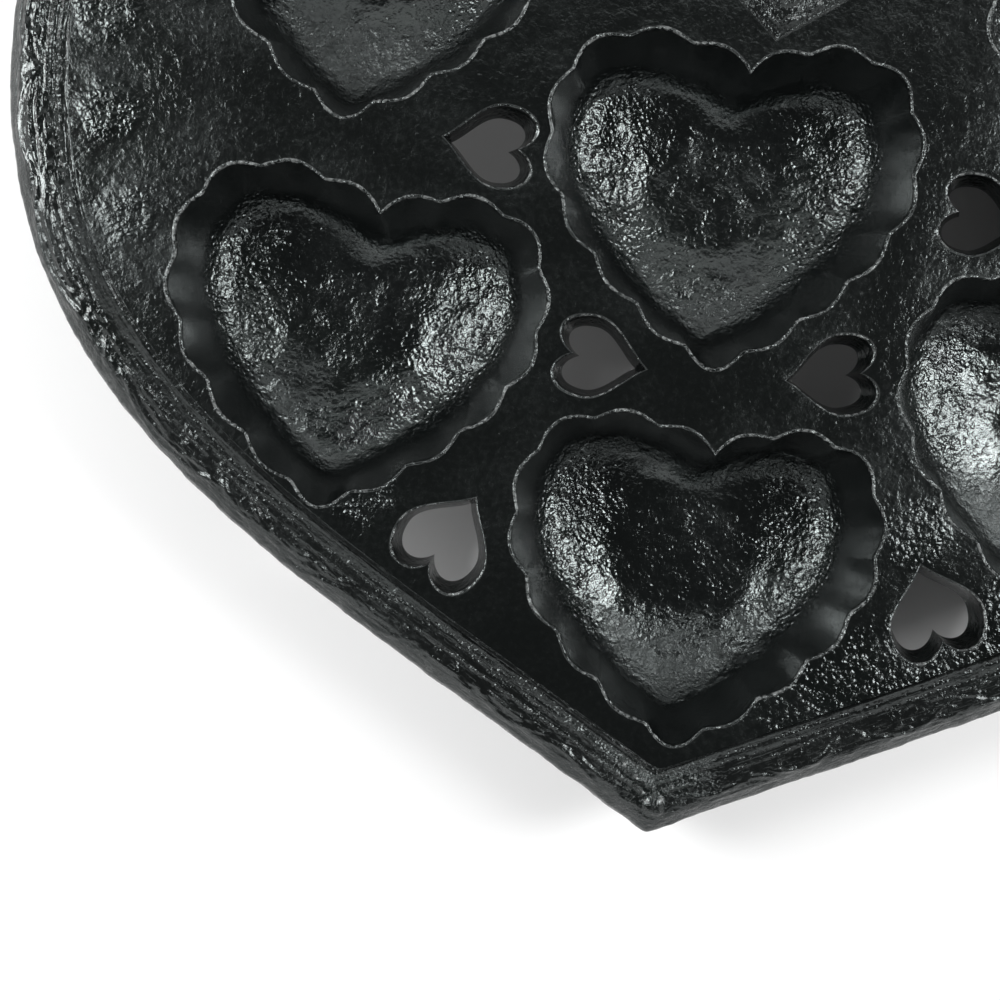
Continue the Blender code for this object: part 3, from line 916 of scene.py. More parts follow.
@dataclass(frozen=True)
class CupShape:
    """Sizes that all six cups share, as in the CAD, with the radii of their edges."""

    half_width: float = 0.0336
    widest_up: float = 0.0050
    notch_up: float = 0.0194
    notch_offset: float = 0.0016
    tip_down: float = 0.0337
    tip_handle: float = 0.0040
    flank_handle: float = 0.0190
    shoulder_handle: float = 0.0275
    shoulder_slack: float = 0.45
    notch_handle: tuple[float, float] = (0.0066, 0.0046)
    wall_depth: float = 0.0160
    wall_run: float = 0.0042
    notch_run: float = 0.0030
    lobe_rise: float = 0.0012
    bowl_depth: float = 0.0044
    shell: float = 0.0038
    foot_inset: float = 0.0040
    foot_edge: float = 0.0025
    flute_depth: float = 0.0017
    flutes: int = 17
    points_a_flute: int = 12
    rim_round: float = 0.0006
    rim_bead: float = 0.00022
    cusp_softness: float = 0.15
    cusp_round: float = 0.006
    crease_round: float = 0.0036
    floor_softening: int = 14
    notch_soft_steps: float = 14.0
    tip_soft_steps: float = 10.0
    tip_softening: float = 0.4
    oval_size: tuple[float, float] = (0.80, 0.66)
    oval_share: float = 0.9
    collar_round: float = 0.0014
    wall_bands: int = 12
    bowl_bands: int = 36
    bowl_reach: float = 0.55
    bowl_ease: float = 1.6

    def side(self, side: float, inset: float, notch_drop: float, count: int) -> np.ndarray:
        """One side of the heart from tip to notch, drawn in, at equal steps."""
        shrink = (self.half_width - inset) / self.half_width
        tip = np.array([0.0, inset - self.tip_down])
        sunk = inset / self.wall_run
        wide = np.array([side * (self.half_width - inset), self.widest_up + self.lobe_rise * sunk])
        notch = np.array([self.notch_offset, self.notch_up - notch_drop])
        past_tip = tip + np.array([side * self.tip_handle, 0.0])
        before_wide = wide - np.array([0.0, self.flank_handle * shrink])
        past_wide = wide + np.array([0.0, (self.shoulder_handle - self.shoulder_slack * inset) * shrink])
        past_notch = notch + np.array([side * self.notch_handle[0], self.notch_handle[1]]) * shrink
        flank = bezier(tip, past_tip, before_wide, wide, 200)
        lobe = bezier(wide, past_wide, past_notch, notch, 200)
        return at_even_steps(np.vstack([flank, lobe[1:]]), count)

    def ring(self, depth: float, shell: float = 0.0) -> np.ndarray:
        """The heart at a depth under the rim, fluted at the rim and smooth at the floor."""
        share = depth / self.wall_depth
        count = self.flutes * self.points_a_flute // 2
        right = self.side(1.0, self.wall_run * share, self.notch_run * share, count)
        left = self.side(-1.0, self.wall_run * share, self.notch_run * share, count)
        plain = np.vstack([right, left[-2:0:-1]])
        wave = np.cos(math.pi * np.arange(len(plain)) / self.points_a_flute)
        cusped = np.sqrt(wave * wave + self.cusp_round)
        bulge = (1.0 - self.cusp_softness) * cusped + self.cusp_softness * wave * wave
        flute = self.flute_depth * (1.0 - share)
        moved = plain + outward_normals(plain) * (flute * bulge + shell)[:, None]
        if shell == 0.0:
            return self.softened(moved, count, share)
        if shell < 2.0 * self.rim_round:
            return moved
        return self.without_loop(moved, count)

    def softened(self, ring: np.ndarray, count: int, share: float) -> np.ndarray:
        """Round the notch and, less, the tip of a ring, more so the deeper it lies."""
        from_tip = np.minimum(np.arange(len(ring)), len(ring) - np.arange(len(ring)))
        here = hump((count - from_tip).astype(float), self.notch_soft_steps)
        here = here + self.tip_softening * hump(from_tip.astype(float), self.tip_soft_steps)
        for _ in range(int(self.floor_softening * share)):
            middle = (np.roll(ring, 1, axis=0) + np.roll(ring, -1, axis=0)) / 2.0
            ring = ring + 0.5 * here[:, None] * (middle - ring)
        return ring

    def without_loop(self, ring: np.ndarray, count: int) -> np.ndarray:
        """Take out the loop that a wide spread makes at the notch, where both sides cross.

        Args:
            ring: Points from the tip round the right side, the notch and the left side.
            count: Number of steps on each side.

        Returns:
            As many points, whose sides meet at one point above the notch.
        """
        right = ring[: count + 1]
        left = np.vstack([ring[:1], ring[:count - 1:-1]])
        sides = []
        for side, chain in ((1.0, right), (-1.0, left)):
            ahead = side * (chain[:, 0] - self.notch_offset)
            last = int(np.nonzero(ahead[count // 2 :] > 0.0)[0][-1]) + count // 2
            end = float(last)
            if last < count:
                end += ahead[last] / (ahead[last] - ahead[last + 1])
            steps = np.linspace(0.0, end, count + 1)
            numbers = np.arange(count + 1)
            both = [np.interp(steps, numbers, chain[:, axis]) for axis in range(2)]
            sides.append(np.stack(both, axis=1))
        meeting = (sides[0][-1] + sides[1][-1]) / 2.0
        return np.vstack([sides[0][:-1], meeting, sides[1][-2:0:-1]])

    def inside(self) -> list[np.ndarray]:
        """Rings from the middle of the bowl, up the fluted wall and over the rounded rim."""
        floor_height = PLATE_TOP - self.wall_depth
        bowl = [self.bowl_ring(share) for share in np.linspace(1.0, 0.0, self.bowl_bands + 1)]
        wall_foot = self.ring(self.wall_depth - self.crease_round)
        wall_end = ring_3d(wall_foot, floor_height + self.crease_round)
        crease = rounded(bowl[-5], bowl[-1], wall_end, 8)
        rim_start = ring_3d(self.ring(self.rim_round), PLATE_TOP - self.rim_round)
        rim_corner = ring_3d(self.ring(0.0), PLATE_TOP)
        rings = bowl[:-5] + crease
        for number in range(1, self.wall_bands):
            share = number / self.wall_bands
            depth = self.wall_depth - self.crease_round
            depth -= (depth - self.rim_round) * share
            rings.append(ring_3d(self.ring(depth), PLATE_TOP - depth))
        rim = rounded(rim_start, rim_corner, self.rim(), 6)
        for ring, lift in zip(rim[1:-1], np.sin(np.linspace(0.0, math.pi, 7))[1:-1]):
            ring[:, 2] += self.rim_bead * lift
        return rings + rim

    def bowl_ring(self, share: float) -> np.ndarray:
        """A ring of the bowl: the heart at share 0, rounder and lower towards its middle at 1."""
        heart = self.ring(self.wall_depth)
        middle = heart.mean(axis=0)
        half = self.half_width - self.wall_run
        angle = np.arctan2(heart[:, 1] - middle[1], heart[:, 0] - middle[0])
        across, upward = self.oval_size
        oval = middle + np.stack([across * half * np.cos(angle), upward * half * np.sin(angle)], axis=1)
        blend = self.oval_share * float(smooth_step(0.0, 0.50, np.array(share)))
        ring = middle + (1.0 - share) * ((1.0 - blend) * (heart - middle) + blend * (oval - middle))
        fall = 1.0 - (1.0 - min(share / self.bowl_reach, 1.0)) ** self.bowl_ease
        return ring_3d(ring, PLATE_TOP - self.wall_depth - self.bowl_depth * fall)

    def rim(self) -> np.ndarray:
        """The ring where the rounded rim meets the flat of the plate."""
        return ring_3d(self.ring(0.0, self.rim_round), PLATE_TOP)

    def collar(self) -> np.ndarray:
        """The ring where the outside of the cup meets the underside of the plate."""
        depth = PLATE_TOP - PLATE_UNDERSIDE
        return ring_3d(self.ring(depth, self.shell + self.collar_round), PLATE_UNDERSIDE)

    def outside(self) -> list[np.ndarray]:
        """Rings from the underside of the plate down to the middle of the flat foot."""
        depth = PLATE_TOP - PLATE_UNDERSIDE
        corner = ring_3d(self.ring(depth, self.shell), PLATE_UNDERSIDE)
        start = depth + self.collar_round
        first = ring_3d(self.ring(start, self.shell), PLATE_TOP - start)
        crease = ring_3d(self.ring(self.wall_depth, self.shell), PLATE_TOP - self.wall_depth)
        floor = self.ring(self.wall_depth)
        edge = ring_3d(floor, self.foot_edge)
        middle = floor.mean(axis=0)
        foot_share = 1.0 - self.foot_inset / (self.half_width - self.wall_run)
        foot = ring_3d(middle + (floor - middle) * foot_share, 0.0)
        above = first + (crease - first) * 0.7
        below = crease + (edge - crease) * 0.35
        low = crease + (edge - crease) * 0.75
        under = edge + (foot - edge) * 0.5
        rings = rounded(self.collar(), corner, first, 4)
        rings += between(first, above, 6)
        rings += rounded(above, crease, below, 6)
        rings += between(below, low, 4)
        rings += rounded(low, edge, under, 5)
        rings.append(foot)
        for share in (0.7, 0.4, 0.15, 0.0):
            rings.append(ring_3d(middle + (floor - middle) * foot_share * share, 0.0))
        return rings


@dataclass(frozen=True)
class CupPlan:
    """One cup of the pan.

    Attributes:
        name: Name of the cup's piece.
        place: Where the cup lies in the pan.
        reach: Share of the way to the middle over which its floor slopes.
        dryness: How dry and fibrous the tip of its floor is.
    """

    name: str
    place: Place
    reach: float
    dryness: float


@dataclass
class HeartCup:
    """One fluted heart cup with its outside and its flat foot.

    Attributes:
        name: Name of its piece.
        place: Where it lies in the pan.
        shape: Its sizes.
        seed: Picks its unevenness.
        dryness: How dry and fibrous the tip of its floor is.
    """

    name: str
    place: Place
    shape: CupShape
    seed: int
    dryness: float
    wave_height: float = 0.00022
    wave_length: float = 0.0036
    burr: float = 0.00010
    burr_length: float = 0.0008
    floor_skin: float = 0.42
    wall_skin: float = 0.10
    lobe_dryness: float = 0.7

    def placed(self, ring: np.ndarray) -> np.ndarray:
        """Move a ring from the cup's own middle into the pan."""
        return np.column_stack([self.place.put(ring[:, :2]), ring[:, 2]])

    def build(self, material: bpy.types.Material) -> bpy.types.Object:
        """Make the cup as one closed shell, hand-cast and so a little uneven."""
        rings = self.shape.inside() + self.shape.outside()
        piece = extrude_through(self.name, [self.placed(ring) for ring in rings], False)
        places = vertex_places(piece)
        floor = PLATE_TOP - self.shape.wall_depth
        cells = places[:, :2] / self.wave_length + SHIFT
        noise = SoftNoise(self.seed).at(cells[:, 0], cells[:, 1])
        inside = self.is_inside(piece)
        sunk = inside * smooth_step(floor + 0.004, floor + 0.001, places[:, 2])
        at_rim = inside * smooth_step(PLATE_TOP - 0.0004, PLATE_TOP, places[:, 2])
        at_rim = at_rim * smooth_step(PLATE_TOP, PLATE_TOP + 0.00006, places[:, 2])
        cells = places[:, :2] / self.burr_length + SHIFT
        burr = SoftNoise(self.seed + 50).at(cells[:, 0], cells[:, 1])
        lifts = self.wave_height * noise * sunk + self.burr * burr * at_rim
        for vertex, lift in zip(piece.data.vertices, lifts):
            vertex.co.z += lift
        local = self.local(places)
        mark(piece, SKIN_ATTRIBUTE, self.skin(places, local, inside, floor))
        mark(piece, MATTE_ATTRIBUTE, self.matte(local) * inside * sunk)
        finish_mesh(piece, material, 60.0)
        return piece

    def local(self, places: np.ndarray) -> np.ndarray:
        """Places seen from above in the cup's own frame, as shares of its half width."""
        angle = math.radians(self.place.turn)
        out = places[:, 0] - self.place.out
        up = places[:, 1] - self.place.up + PanHeart.lobe_up / 2.0
        across = out * math.cos(angle) + up * math.sin(angle)
        upward = up * math.cos(angle) - out * math.sin(angle)
        return np.column_stack([across, upward]) / self.shape.half_width

    def matte(self, local: np.ndarray) -> np.ndarray:
        """How dry and fibrous the floor is: most towards its tip and under its lobes."""
        tip = self.dryness * smooth_step(-0.18, -0.62, local[:, 1])
        lobes = self.lobe_dryness * self.dryness * smooth_step(0.34, 0.60, local[:, 1])
        return np.maximum(tip, lobes)

    def is_inside(self, piece: bpy.types.Object) -> np.ndarray:
        """One for each vertex of the cup's inside, by the way that its surface faces."""
        normals = np.zeros(len(piece.data.vertices) * 3, np.float32)
        piece.data.vertices.foreach_get("normal", normals)
        return (normals.reshape(-1, 3)[:, 2] > 0.0).astype(float)

    def skin(self, places: np.ndarray, local: np.ndarray, inside: np.ndarray, floor: float) -> np.ndarray:
        """Share of pebbles: most at the floor's two ends, few in its middle, none on the wall, and the
        highest on the rim, where it also paints grey flecks that are partly edge wear and partly a
        painted highlight.
        """
        on_floor = smooth_step(floor + 0.0056, floor + 0.0024, places[:, 2])
        ends = smooth_step(0.34, 0.60, np.abs(local[:, 0])) * smooth_step(-0.85, -0.40, local[:, 1])
        floor_share = self.floor_skin + (Skin.PEBBLED.value - self.floor_skin) * ends
        pebbled = self.wall_skin + (floor_share - self.wall_skin) * on_floor
        # Painted highlight: the rim's highest share paints grey flecks along it, partly as edge wear.
        rim = smooth_step(PLATE_TOP - 0.0007, PLATE_TOP - 0.0002, places[:, 2]) * Skin.WORN_AND_GLINT.value
        return np.where(inside > 0.5, np.maximum(pebbled, rim), Skin.SOFT.value)


@dataclass(frozen=True)
class SmallHeart:
    """A small heart-shaped hole through the plate, whose wall draws in downwards."""

    place: Place
    width: float
    length: float
    notch_depth: float = 0.0030
    wall_run: float = 0.0016
    edge_round: float = 0.00045
    widest_share: float = 0.14
    tip_handle: tuple[float, float] = (0.22, 0.16)
    flank_handle: float = 0.26
    lobe_handle: float = 0.42
    notch_handle: tuple[float, float] = (0.28, 0.14)
    steps: int = 72

    def side(self, side: float, spread: float) -> np.ndarray:
        """One side of the heart, whose tip points along X, grown by a spread."""
        width = self.width + 2.0 * spread
        length = self.length + 2.0 * spread
        tip = np.array([length / 2.0, 0.0])
        wide = np.array([-self.widest_share * length, side * width / 2.0])
        notch = np.array([self.notch_depth - length / 2.0, 0.0])
        past_tip = tip + np.array([-self.tip_handle[0] * length, self.tip_handle[1] * side * width])
        before_wide = wide + np.array([self.flank_handle * length, 0.0])
        past_wide = wide - np.array([self.lobe_handle * length, 0.0])
        towards_notch = [-self.notch_handle[0] * length, self.notch_handle[1] * side * width]
        past_notch = notch + np.array(towards_notch)
        flank = bezier(tip, past_tip, before_wide, wide, 80)
        lobe = bezier(wide, past_wide, past_notch, notch, 80)
        return at_even_steps(np.vstack([flank, lobe[1:]]), self.steps // 2)

    def ring(self, spread: float, height: float) -> np.ndarray:
        """The heart grown by a spread, in its place at a height."""
        plain = np.vstack([self.side(1.0, spread), self.side(-1.0, spread)[-2:0:-1]])
        return ring_3d(self.place.put(plain), height)

    def near(self, places: np.ndarray) -> np.ndarray:
        """Whether each place lies on the rounded edge of the hole, seen from above."""
        edge = self.top()
        return nearest(places[:, :2], edge[:, :2]) < 2.0 * self.edge_round

    def top(self) -> np.ndarray:
        """The ring where the hole's rounded edge meets the top of the plate."""
        return self.ring(self.edge_round, PLATE_TOP)

    def bottom(self) -> np.ndarray:
        """The ring where the hole's rounded edge meets the underside of the plate."""
        return self.ring(self.edge_round - self.wall_run, PLATE_UNDERSIDE)

    def wall(self) -> list[np.ndarray]:
        """Rings from the top of the plate down the wall of the hole."""
        slope = self.wall_run / (PLATE_TOP - PLATE_UNDERSIDE)
        upper = self.ring(-slope * self.edge_round, PLATE_TOP - self.edge_round)
        lower = self.ring(slope * self.edge_round - self.wall_run, PLATE_UNDERSIDE + self.edge_round)
        rings = rounded(self.top(), self.ring(0.0, PLATE_TOP), upper, 4)
        rings += between(upper, lower, 5)
        return rings + rounded(lower, self.ring(-self.wall_run, PLATE_UNDERSIDE), self.bottom(), 4)


@dataclass
class Plate:
    """The flat of the pan, pierced by the cups and the small hearts."""

    border: Border
    cups: list[HeartCup]
    holes: list[SmallHeart]
    mesh_step: float = 0.0021
    row_share: float = 0.87
    edge_gap: float = 0.0009
    calm_edge: float = 0.0050
    wave_height: float = 0.00012
    wave_length: float = 0.0105
    plain_skin: ClassVar[float] = 0.16
    pebble_patches: ClassVar[tuple[tuple[float, float, float], ...]] = (
        (0.024, 0.0290, 0.012),
        (0.036, 0.0340, 0.016),
        (0.049, 0.0400, 0.018),
        (0.063, 0.0460, 0.018),
        (0.040, 0.0650, 0.009),
        (-0.0620, 0.0560, 0.008),
        (-0.1130, 0.1010, 0.007),
        (-0.1190, 0.1190, 0.007),
        (-0.1220, 0.1370, 0.008),
    )

    def build(self, material: bpy.types.Material) -> bpy.types.Object:
        """Make the plate as one closed solid."""
        rims = [cup.placed(cup.shape.rim()) for cup in self.cups]
        collars = [cup.placed(cup.shape.collar()) for cup in self.cups]
        top_loops = [self.border.inner_ring()] + rims + [hole.top() for hole in self.holes]
        low_loops = [self.border.lower_ring()] + collars + [hole.bottom() for hole in self.holes]
        parts = [
            self.flat("plate_top", top_loops, PLATE_TOP),
            self.flat("plate_underside", low_loops, PLATE_UNDERSIDE),
        ]
        parts.append(extrude_through("plate_edge", [top_loops[0], low_loops[0]], False))
        for cup, rim, collar in zip(self.cups, rims, collars):
            parts.append(extrude_through(cup.name + "_seat", [rim, collar], False))
        for number, hole in enumerate(self.holes):
            parts.append(extrude_through("hole_wall_%d" % number, hole.wall(), False))
        plate = join_pieces("heart_plate", parts)
        places = vertex_places(plate)
        top = np.abs(places[:, 2] - PLATE_TOP) < 0.001
        mark(plate, SKIN_ATTRIBUTE, self.skin(places, top))
        finish_mesh(plate, material, 35.0)
        return plate

    def skin(self, places: np.ndarray, top: np.ndarray) -> np.ndarray:
        """Share of pebbles all over the plate; the rounded edges of its holes get the highest share,
        which makes them rough and paints grey flecks on them, partly edge wear and partly a painted
        highlight.
        """
        share = np.where(top, self.skin_at(places), Skin.SOFT.value)
        under_top = PLATE_TOP - places[:, 2]
        on_bend = (under_top > 0.00002) & (under_top < 0.0004)
        for hole in self.holes:
            # Painted highlight along the hole edges, partly edge wear as well.
            share = np.where(hole.near(places) & on_bend, Skin.WORN_AND_GLINT.value, share)
        return share

    @classmethod
    def skin_at(cls, places: np.ndarray) -> np.ndarray:
        """Share of pebbles at places on the plate: most in patches by the border."""
        share = np.full(len(places), cls.plain_skin)
        for out, up, radius in cls.pebble_patches:
            away = np.hypot(places[:, 0] - out, places[:, 1] - up + PanHeart.lobe_up / 2.0)
            share = np.maximum(share, smooth_step(radius, 0.45 * radius, away))
        return share

    def flat(self, name: str, loops: list[np.ndarray], height: float) -> bpy.types.Object:
        """A flat face that fills the space inside the first loop and outside the others.

        Args:
            name: Name of the new mesh.
            loops: Closed rings, the outer one first.
            height: Height of the face.

        Returns:
            The mesh, gently uneven away from its edges.
        """
        edges = []
        start = 0
        for loop in loops:
            numbers = start + np.arange(len(loop))
            edges += list(zip(numbers.tolist(), np.roll(numbers, -1).tolist()))
            start += len(loop)
        rim = np.vstack([loop[:, :2] for loop in loops])
        ends = rim[[second for _, second in edges]]
        grid = self.grid(rim, ends)
        points = np.vstack([rim, grid])
        found = delaunay_2d_cdt([Vector(point * 1000.0) for point in points], edges, [], 0, 0.0001)
        flat = np.array([tuple(point) for point in found[0]]) / 1000.0
        for number, sources in enumerate(found[3]):
            if sources:
                flat[number] = points[sources[0]]
        corners = np.array(found[2])
        kept = corners[inside_loops(flat[corners].mean(axis=1), rim, ends)]
        away = smooth_step(self.edge_gap, self.calm_edge, nearest(flat, rim))
        cells = flat / self.wave_length + SHIFT
        noise = SoftNoise(3).at(cells[:, 0], cells[:, 1])
        heights = height + self.wave_height * noise * away
        mesh = bpy.data.meshes.new(name)
        mesh.from_pydata(np.column_stack([flat, heights]).tolist(), [], kept.tolist())
        piece = bpy.data.objects.new(name, mesh)
        bpy.context.scene.collection.objects.link(piece)
        return piece

    def grid(self, rim: np.ndarray, ends: np.ndarray) -> np.ndarray:
        """Staggered points over the flat, clear of its edges."""
        low = rim.min(axis=0)
        high = rim.max(axis=0)
        rows = np.arange(low[1], high[1], self.mesh_step * self.row_share)
        points = []
        for number, row in enumerate(rows):
            across = np.arange(low[0] + 0.5 * self.mesh_step * (number % 2), high[0], self.mesh_step)
            points.append(np.column_stack([across, np.full(len(across), row)]))
        points = np.vstack(points)
        points = points[inside_loops(points, rim, ends)]
        return points[nearest(points, rim) > self.edge_gap]


def inside_loops(points: np.ndarray, starts: np.ndarray, ends: np.ndarray) -> np.ndarray:
    """Whether each point lies inside an odd number of the loops made by these edges."""
    inside = np.zeros(len(points), bool)
    rise = ends[:, 1] - starts[:, 1]
    safe = np.where(np.abs(rise) < 1e-12, 1e-12, rise)
    for first in range(0, len(points), 2000):
        part = points[first : first + 2000]
        crosses = (starts[:, 1] > part[:, 1:2]) != (ends[:, 1] > part[:, 1:2])
        meets = starts[:, 0] + (part[:, 1:2] - starts[:, 1]) / safe * (ends[:, 0] - starts[:, 0])
        inside[first : first + 2000] = (crosses & (meets > part[:, 0:1])).sum(axis=1) % 2 == 1
    return inside


def nearest(points: np.ndarray, others: np.ndarray) -> np.ndarray:
    """Distance from each point to the nearest of some others."""
    gaps = np.zeros(len(points))
    for first in range(0, len(points), 1000):
        part = points[first : first + 1000]
        gaps[first : first + 1000] = np.hypot(
            part[:, 0:1] - others[:, 0], part[:, 1:2] - others[:, 1]
        ).min(axis=1)
    return gaps


# Finishes


@dataclass
class NodeDesk:
    """Adds nodes to a tree and joins them, so that a finish reads as a short list."""

    tree: bpy.types.NodeTree

    def add(self, kind: str, **settings: object) -> bpy.types.Node:
        """Add a node of a kind; settings that name one of its properties are set."""
        node = self.tree.nodes.new(kind)
        for name, value in settings.items():
            setattr(node, name, value)
        return node

    def feed(self, node: bpy.types.Node, socket: str | int, value: object) -> None:
        """Give an input a value, or join an output to it."""
        if isinstance(value, bpy.types.NodeSocket):
            self.tree.links.new(value, node.inputs[socket])
        else:
            node.inputs[socket].default_value = value

    def stored_number(self, name: str) -> bpy.types.NodeSocket:
        """The number that the mesh stores under a name."""
        return self.add("ShaderNodeAttribute", attribute_name=name).outputs["Fac"]

    def stored_vector(self, name: str) -> bpy.types.NodeSocket:
        """The vector that the mesh stores under a name."""
        return self.add("ShaderNodeAttribute", attribute_name=name).outputs["Vector"]

    def math(
        self, operation: str, first: object, second: object = 0.0, third: object = 0.0
    ) -> bpy.types.NodeSocket:
        """A sum, product or other operation on numbers."""
        node = self.add("ShaderNodeMath", operation=operation)
        for number, value in enumerate((first, second, third)):
            self.feed(node, number, value)
        return node.outputs[0]

    def ramp(
        self, value: object, low: float, high: float, start: float = 0.0, end: float = 1.0
    ) -> bpy.types.NodeSocket:
        """A soft ramp of a number from start to end while it goes from low to high."""
        node = self.add("ShaderNodeMapRange", interpolation_type="SMOOTHSTEP")
        self.feed(node, "Value", value)
        limits = (("From Min", low), ("From Max", high), ("To Min", start), ("To Max", end))
        for name, number in limits:
            self.feed(node, name, number)
        return node.outputs["Result"]

    def noise(
        self, place: object, size: float, detail: float, roughness: float = 0.5
    ) -> bpy.types.NodeSocket:
        """Soft noise whose lumps are about this size in metres."""
        node = self.add("ShaderNodeTexNoise")
        self.feed(node, "Vector", place)
        self.feed(node, "Scale", 1.0 / size)
        self.feed(node, "Detail", detail)
        self.feed(node, "Roughness", roughness)
        return node.outputs["Fac"]

    def stretched(self, place: object, scale: tuple[float, float, float]) -> bpy.types.NodeSocket:
        """A place scaled by its own amount each way."""
        node = self.add("ShaderNodeVectorMath", operation="MULTIPLY")
        self.feed(node, 0, place)
        self.feed(node, 1, scale)
        return node.outputs[0]


def new_group(
    name: str, inputs: dict[str, str], outputs: dict[str, str]
) -> tuple[NodeDesk, bpy.types.Node, bpy.types.Node]:
    """Start a shader node group.

    Args:
        name: Name of the group.
        inputs: Socket type of each named input.
        outputs: Socket type of each named output.

    Returns:
        A desk for its nodes, its input node and its output node.
    """
    tree = bpy.data.node_groups.new(name, "ShaderNodeTree")
    for direction, sockets in (("INPUT", inputs), ("OUTPUT", outputs)):
        for socket, kind in sockets.items():
            tree.interface.new_socket(name=socket, in_out=direction, socket_type=kind)
    desk = NodeDesk(tree)
    return desk, desk.add("NodeGroupInput"), desk.add("NodeGroupOutput")


@dataclass(frozen=True)
class CastSkin:
    """The skin that moulding sand leaves: rounded pebbles, specks, grit, lumps and crumples.

    Heights are in millimetres, and the sizes of cells and noises in metres or cells a metre.
    """

    warp: float = 0.0007
    warp_scale: float = 700.0
    pebble_height: float = 0.24
    pebble_scale: float = 980.0
    pebble_patch: float = 0.0036
    speck_height: float = 0.12
    speck_scale: float = 640.0
    grit_height: float = 0.085
    grit_size: float = 0.00050
    lump_height: float = 0.15
    lump_size: float = 0.0030
    crumple_height: float = 0.75
    crumple_size: float = 0.0030

    def group(self) -> bpy.types.NodeTree:
        """A group that gives the skin's height from a place and its share of pebbles."""
        desk, given, result = new_group(
            "cast_skin",
            {"Place": "NodeSocketVector", "Pebbles": "NodeSocketFloat"},
            {"Height": "NodeSocketFloat"},
        )
        share = given.outputs["Pebbles"]
        place = self.warped(desk, given.outputs["Place"])
        crumple = desk.math("MULTIPLY", desk.noise(place, self.crumple_size, 4.0, 0.60), share)
        layers = (
            (self.specks(desk, place, share), self.speck_height),
            (desk.noise(place, self.grit_size, 2.0, 0.6), self.grit_height),
            (desk.noise(place, self.lump_size, 1.0), self.lump_height),
            (crumple, self.crumple_height),
        )
        height = desk.math("MULTIPLY", self.pebbles(desk, place, share), self.pebble_height)
        for layer, layer_height in layers:
            height = desk.math("MULTIPLY_ADD", layer, layer_height, height)
        desk.feed(result, "Height", height)
        return desk.tree

    def warped(self, desk: NodeDesk, place: bpy.types.NodeSocket) -> bpy.types.NodeSocket:
        """The place, pushed about a little, so that no cell is a plain polygon."""
        warp = desk.add("ShaderNodeTexNoise")
        desk.feed(warp, "Vector", place)
        desk.feed(warp, "Scale", self.warp_scale)
        mixed = desk.add("ShaderNodeVectorMath", operation="MULTIPLY_ADD")
        desk.feed(mixed, 0, warp.outputs["Color"])
        desk.feed(mixed, 1, (self.warp, self.warp, self.warp))
        desk.feed(mixed, 2, place)
        return mixed.outputs[0]

    def cells(self, desk: NodeDesk, place: object, feature: str, scale: float) -> bpy.types.Node:
        """Cells of one kind, so many to a metre."""
        cells = desk.add("ShaderNodeTexVoronoi", feature=feature)
        desk.feed(cells, "Vector", place)
        desk.feed(cells, "Scale", scale)
        return cells

    def pebbles(self, desk: NodeDesk, place: object, share: object) -> bpy.types.NodeSocket:
        """Rounded pebbles that lie closer in some patches than in others."""
        cells = self.cells(desk, place, "SMOOTH_F1", self.pebble_scale)
        desk.feed(cells, "Smoothness", 0.25)
        tops = desk.ramp(cells.outputs["Distance"], 0.62, 0.10)
        patches = desk.ramp(desk.noise(place, self.pebble_patch, 2.0), 0.34, 0.58, 0.25, 1.0)
        return desk.math("MULTIPLY", desk.math("MULTIPLY", tops, patches), share)

    def specks(self, desk: NodeDesk, place: object, share: object) -> bpy.types.NodeSocket:
        """Single grains on about a third of their cells, fewer where there are few pebbles."""
        cells = self.cells(desk, place, "F1", self.speck_scale)
        chosen = desk.add("ShaderNodeSeparateColor")
        desk.feed(chosen, 0, cells.outputs["Color"])
        rare = desk.ramp(chosen.outputs[0], 0.62, 0.80)
        specks = desk.math("MULTIPLY", rare, desk.ramp(cells.outputs["Distance"], 0.30, 0.04))
        return desk.math("MULTIPLY", specks, desk.ramp(share, 0.1, 0.9, 0.35, 1.0))


def seasoning_group() -> bpy.types.NodeTree:
    """Baked-on oil: patches that are a little greyer and duller than the rest.

    Returns:
        A group that gives a mask of dull patches and one of fine dry streaks.
    """
    desk, given, result = new_group(
        "seasoning",
        {"Place": "NodeSocketVector"},
        {"Dull": "NodeSocketFloat", "Streaks": "NodeSocketFloat"},
    )
    broad = desk.noise(given.outputs["Place"], 0.021, 3.0, 0.6)
    fine = desk.noise(given.outputs["Place"], 0.0011, 3.0, 0.65)
    desk.feed(result, "Dull", desk.ramp(broad, 0.26, 0.76))
    desk.feed(result, "Streaks", desk.ramp(fine, 0.34, 0.76))
    return desk.tree


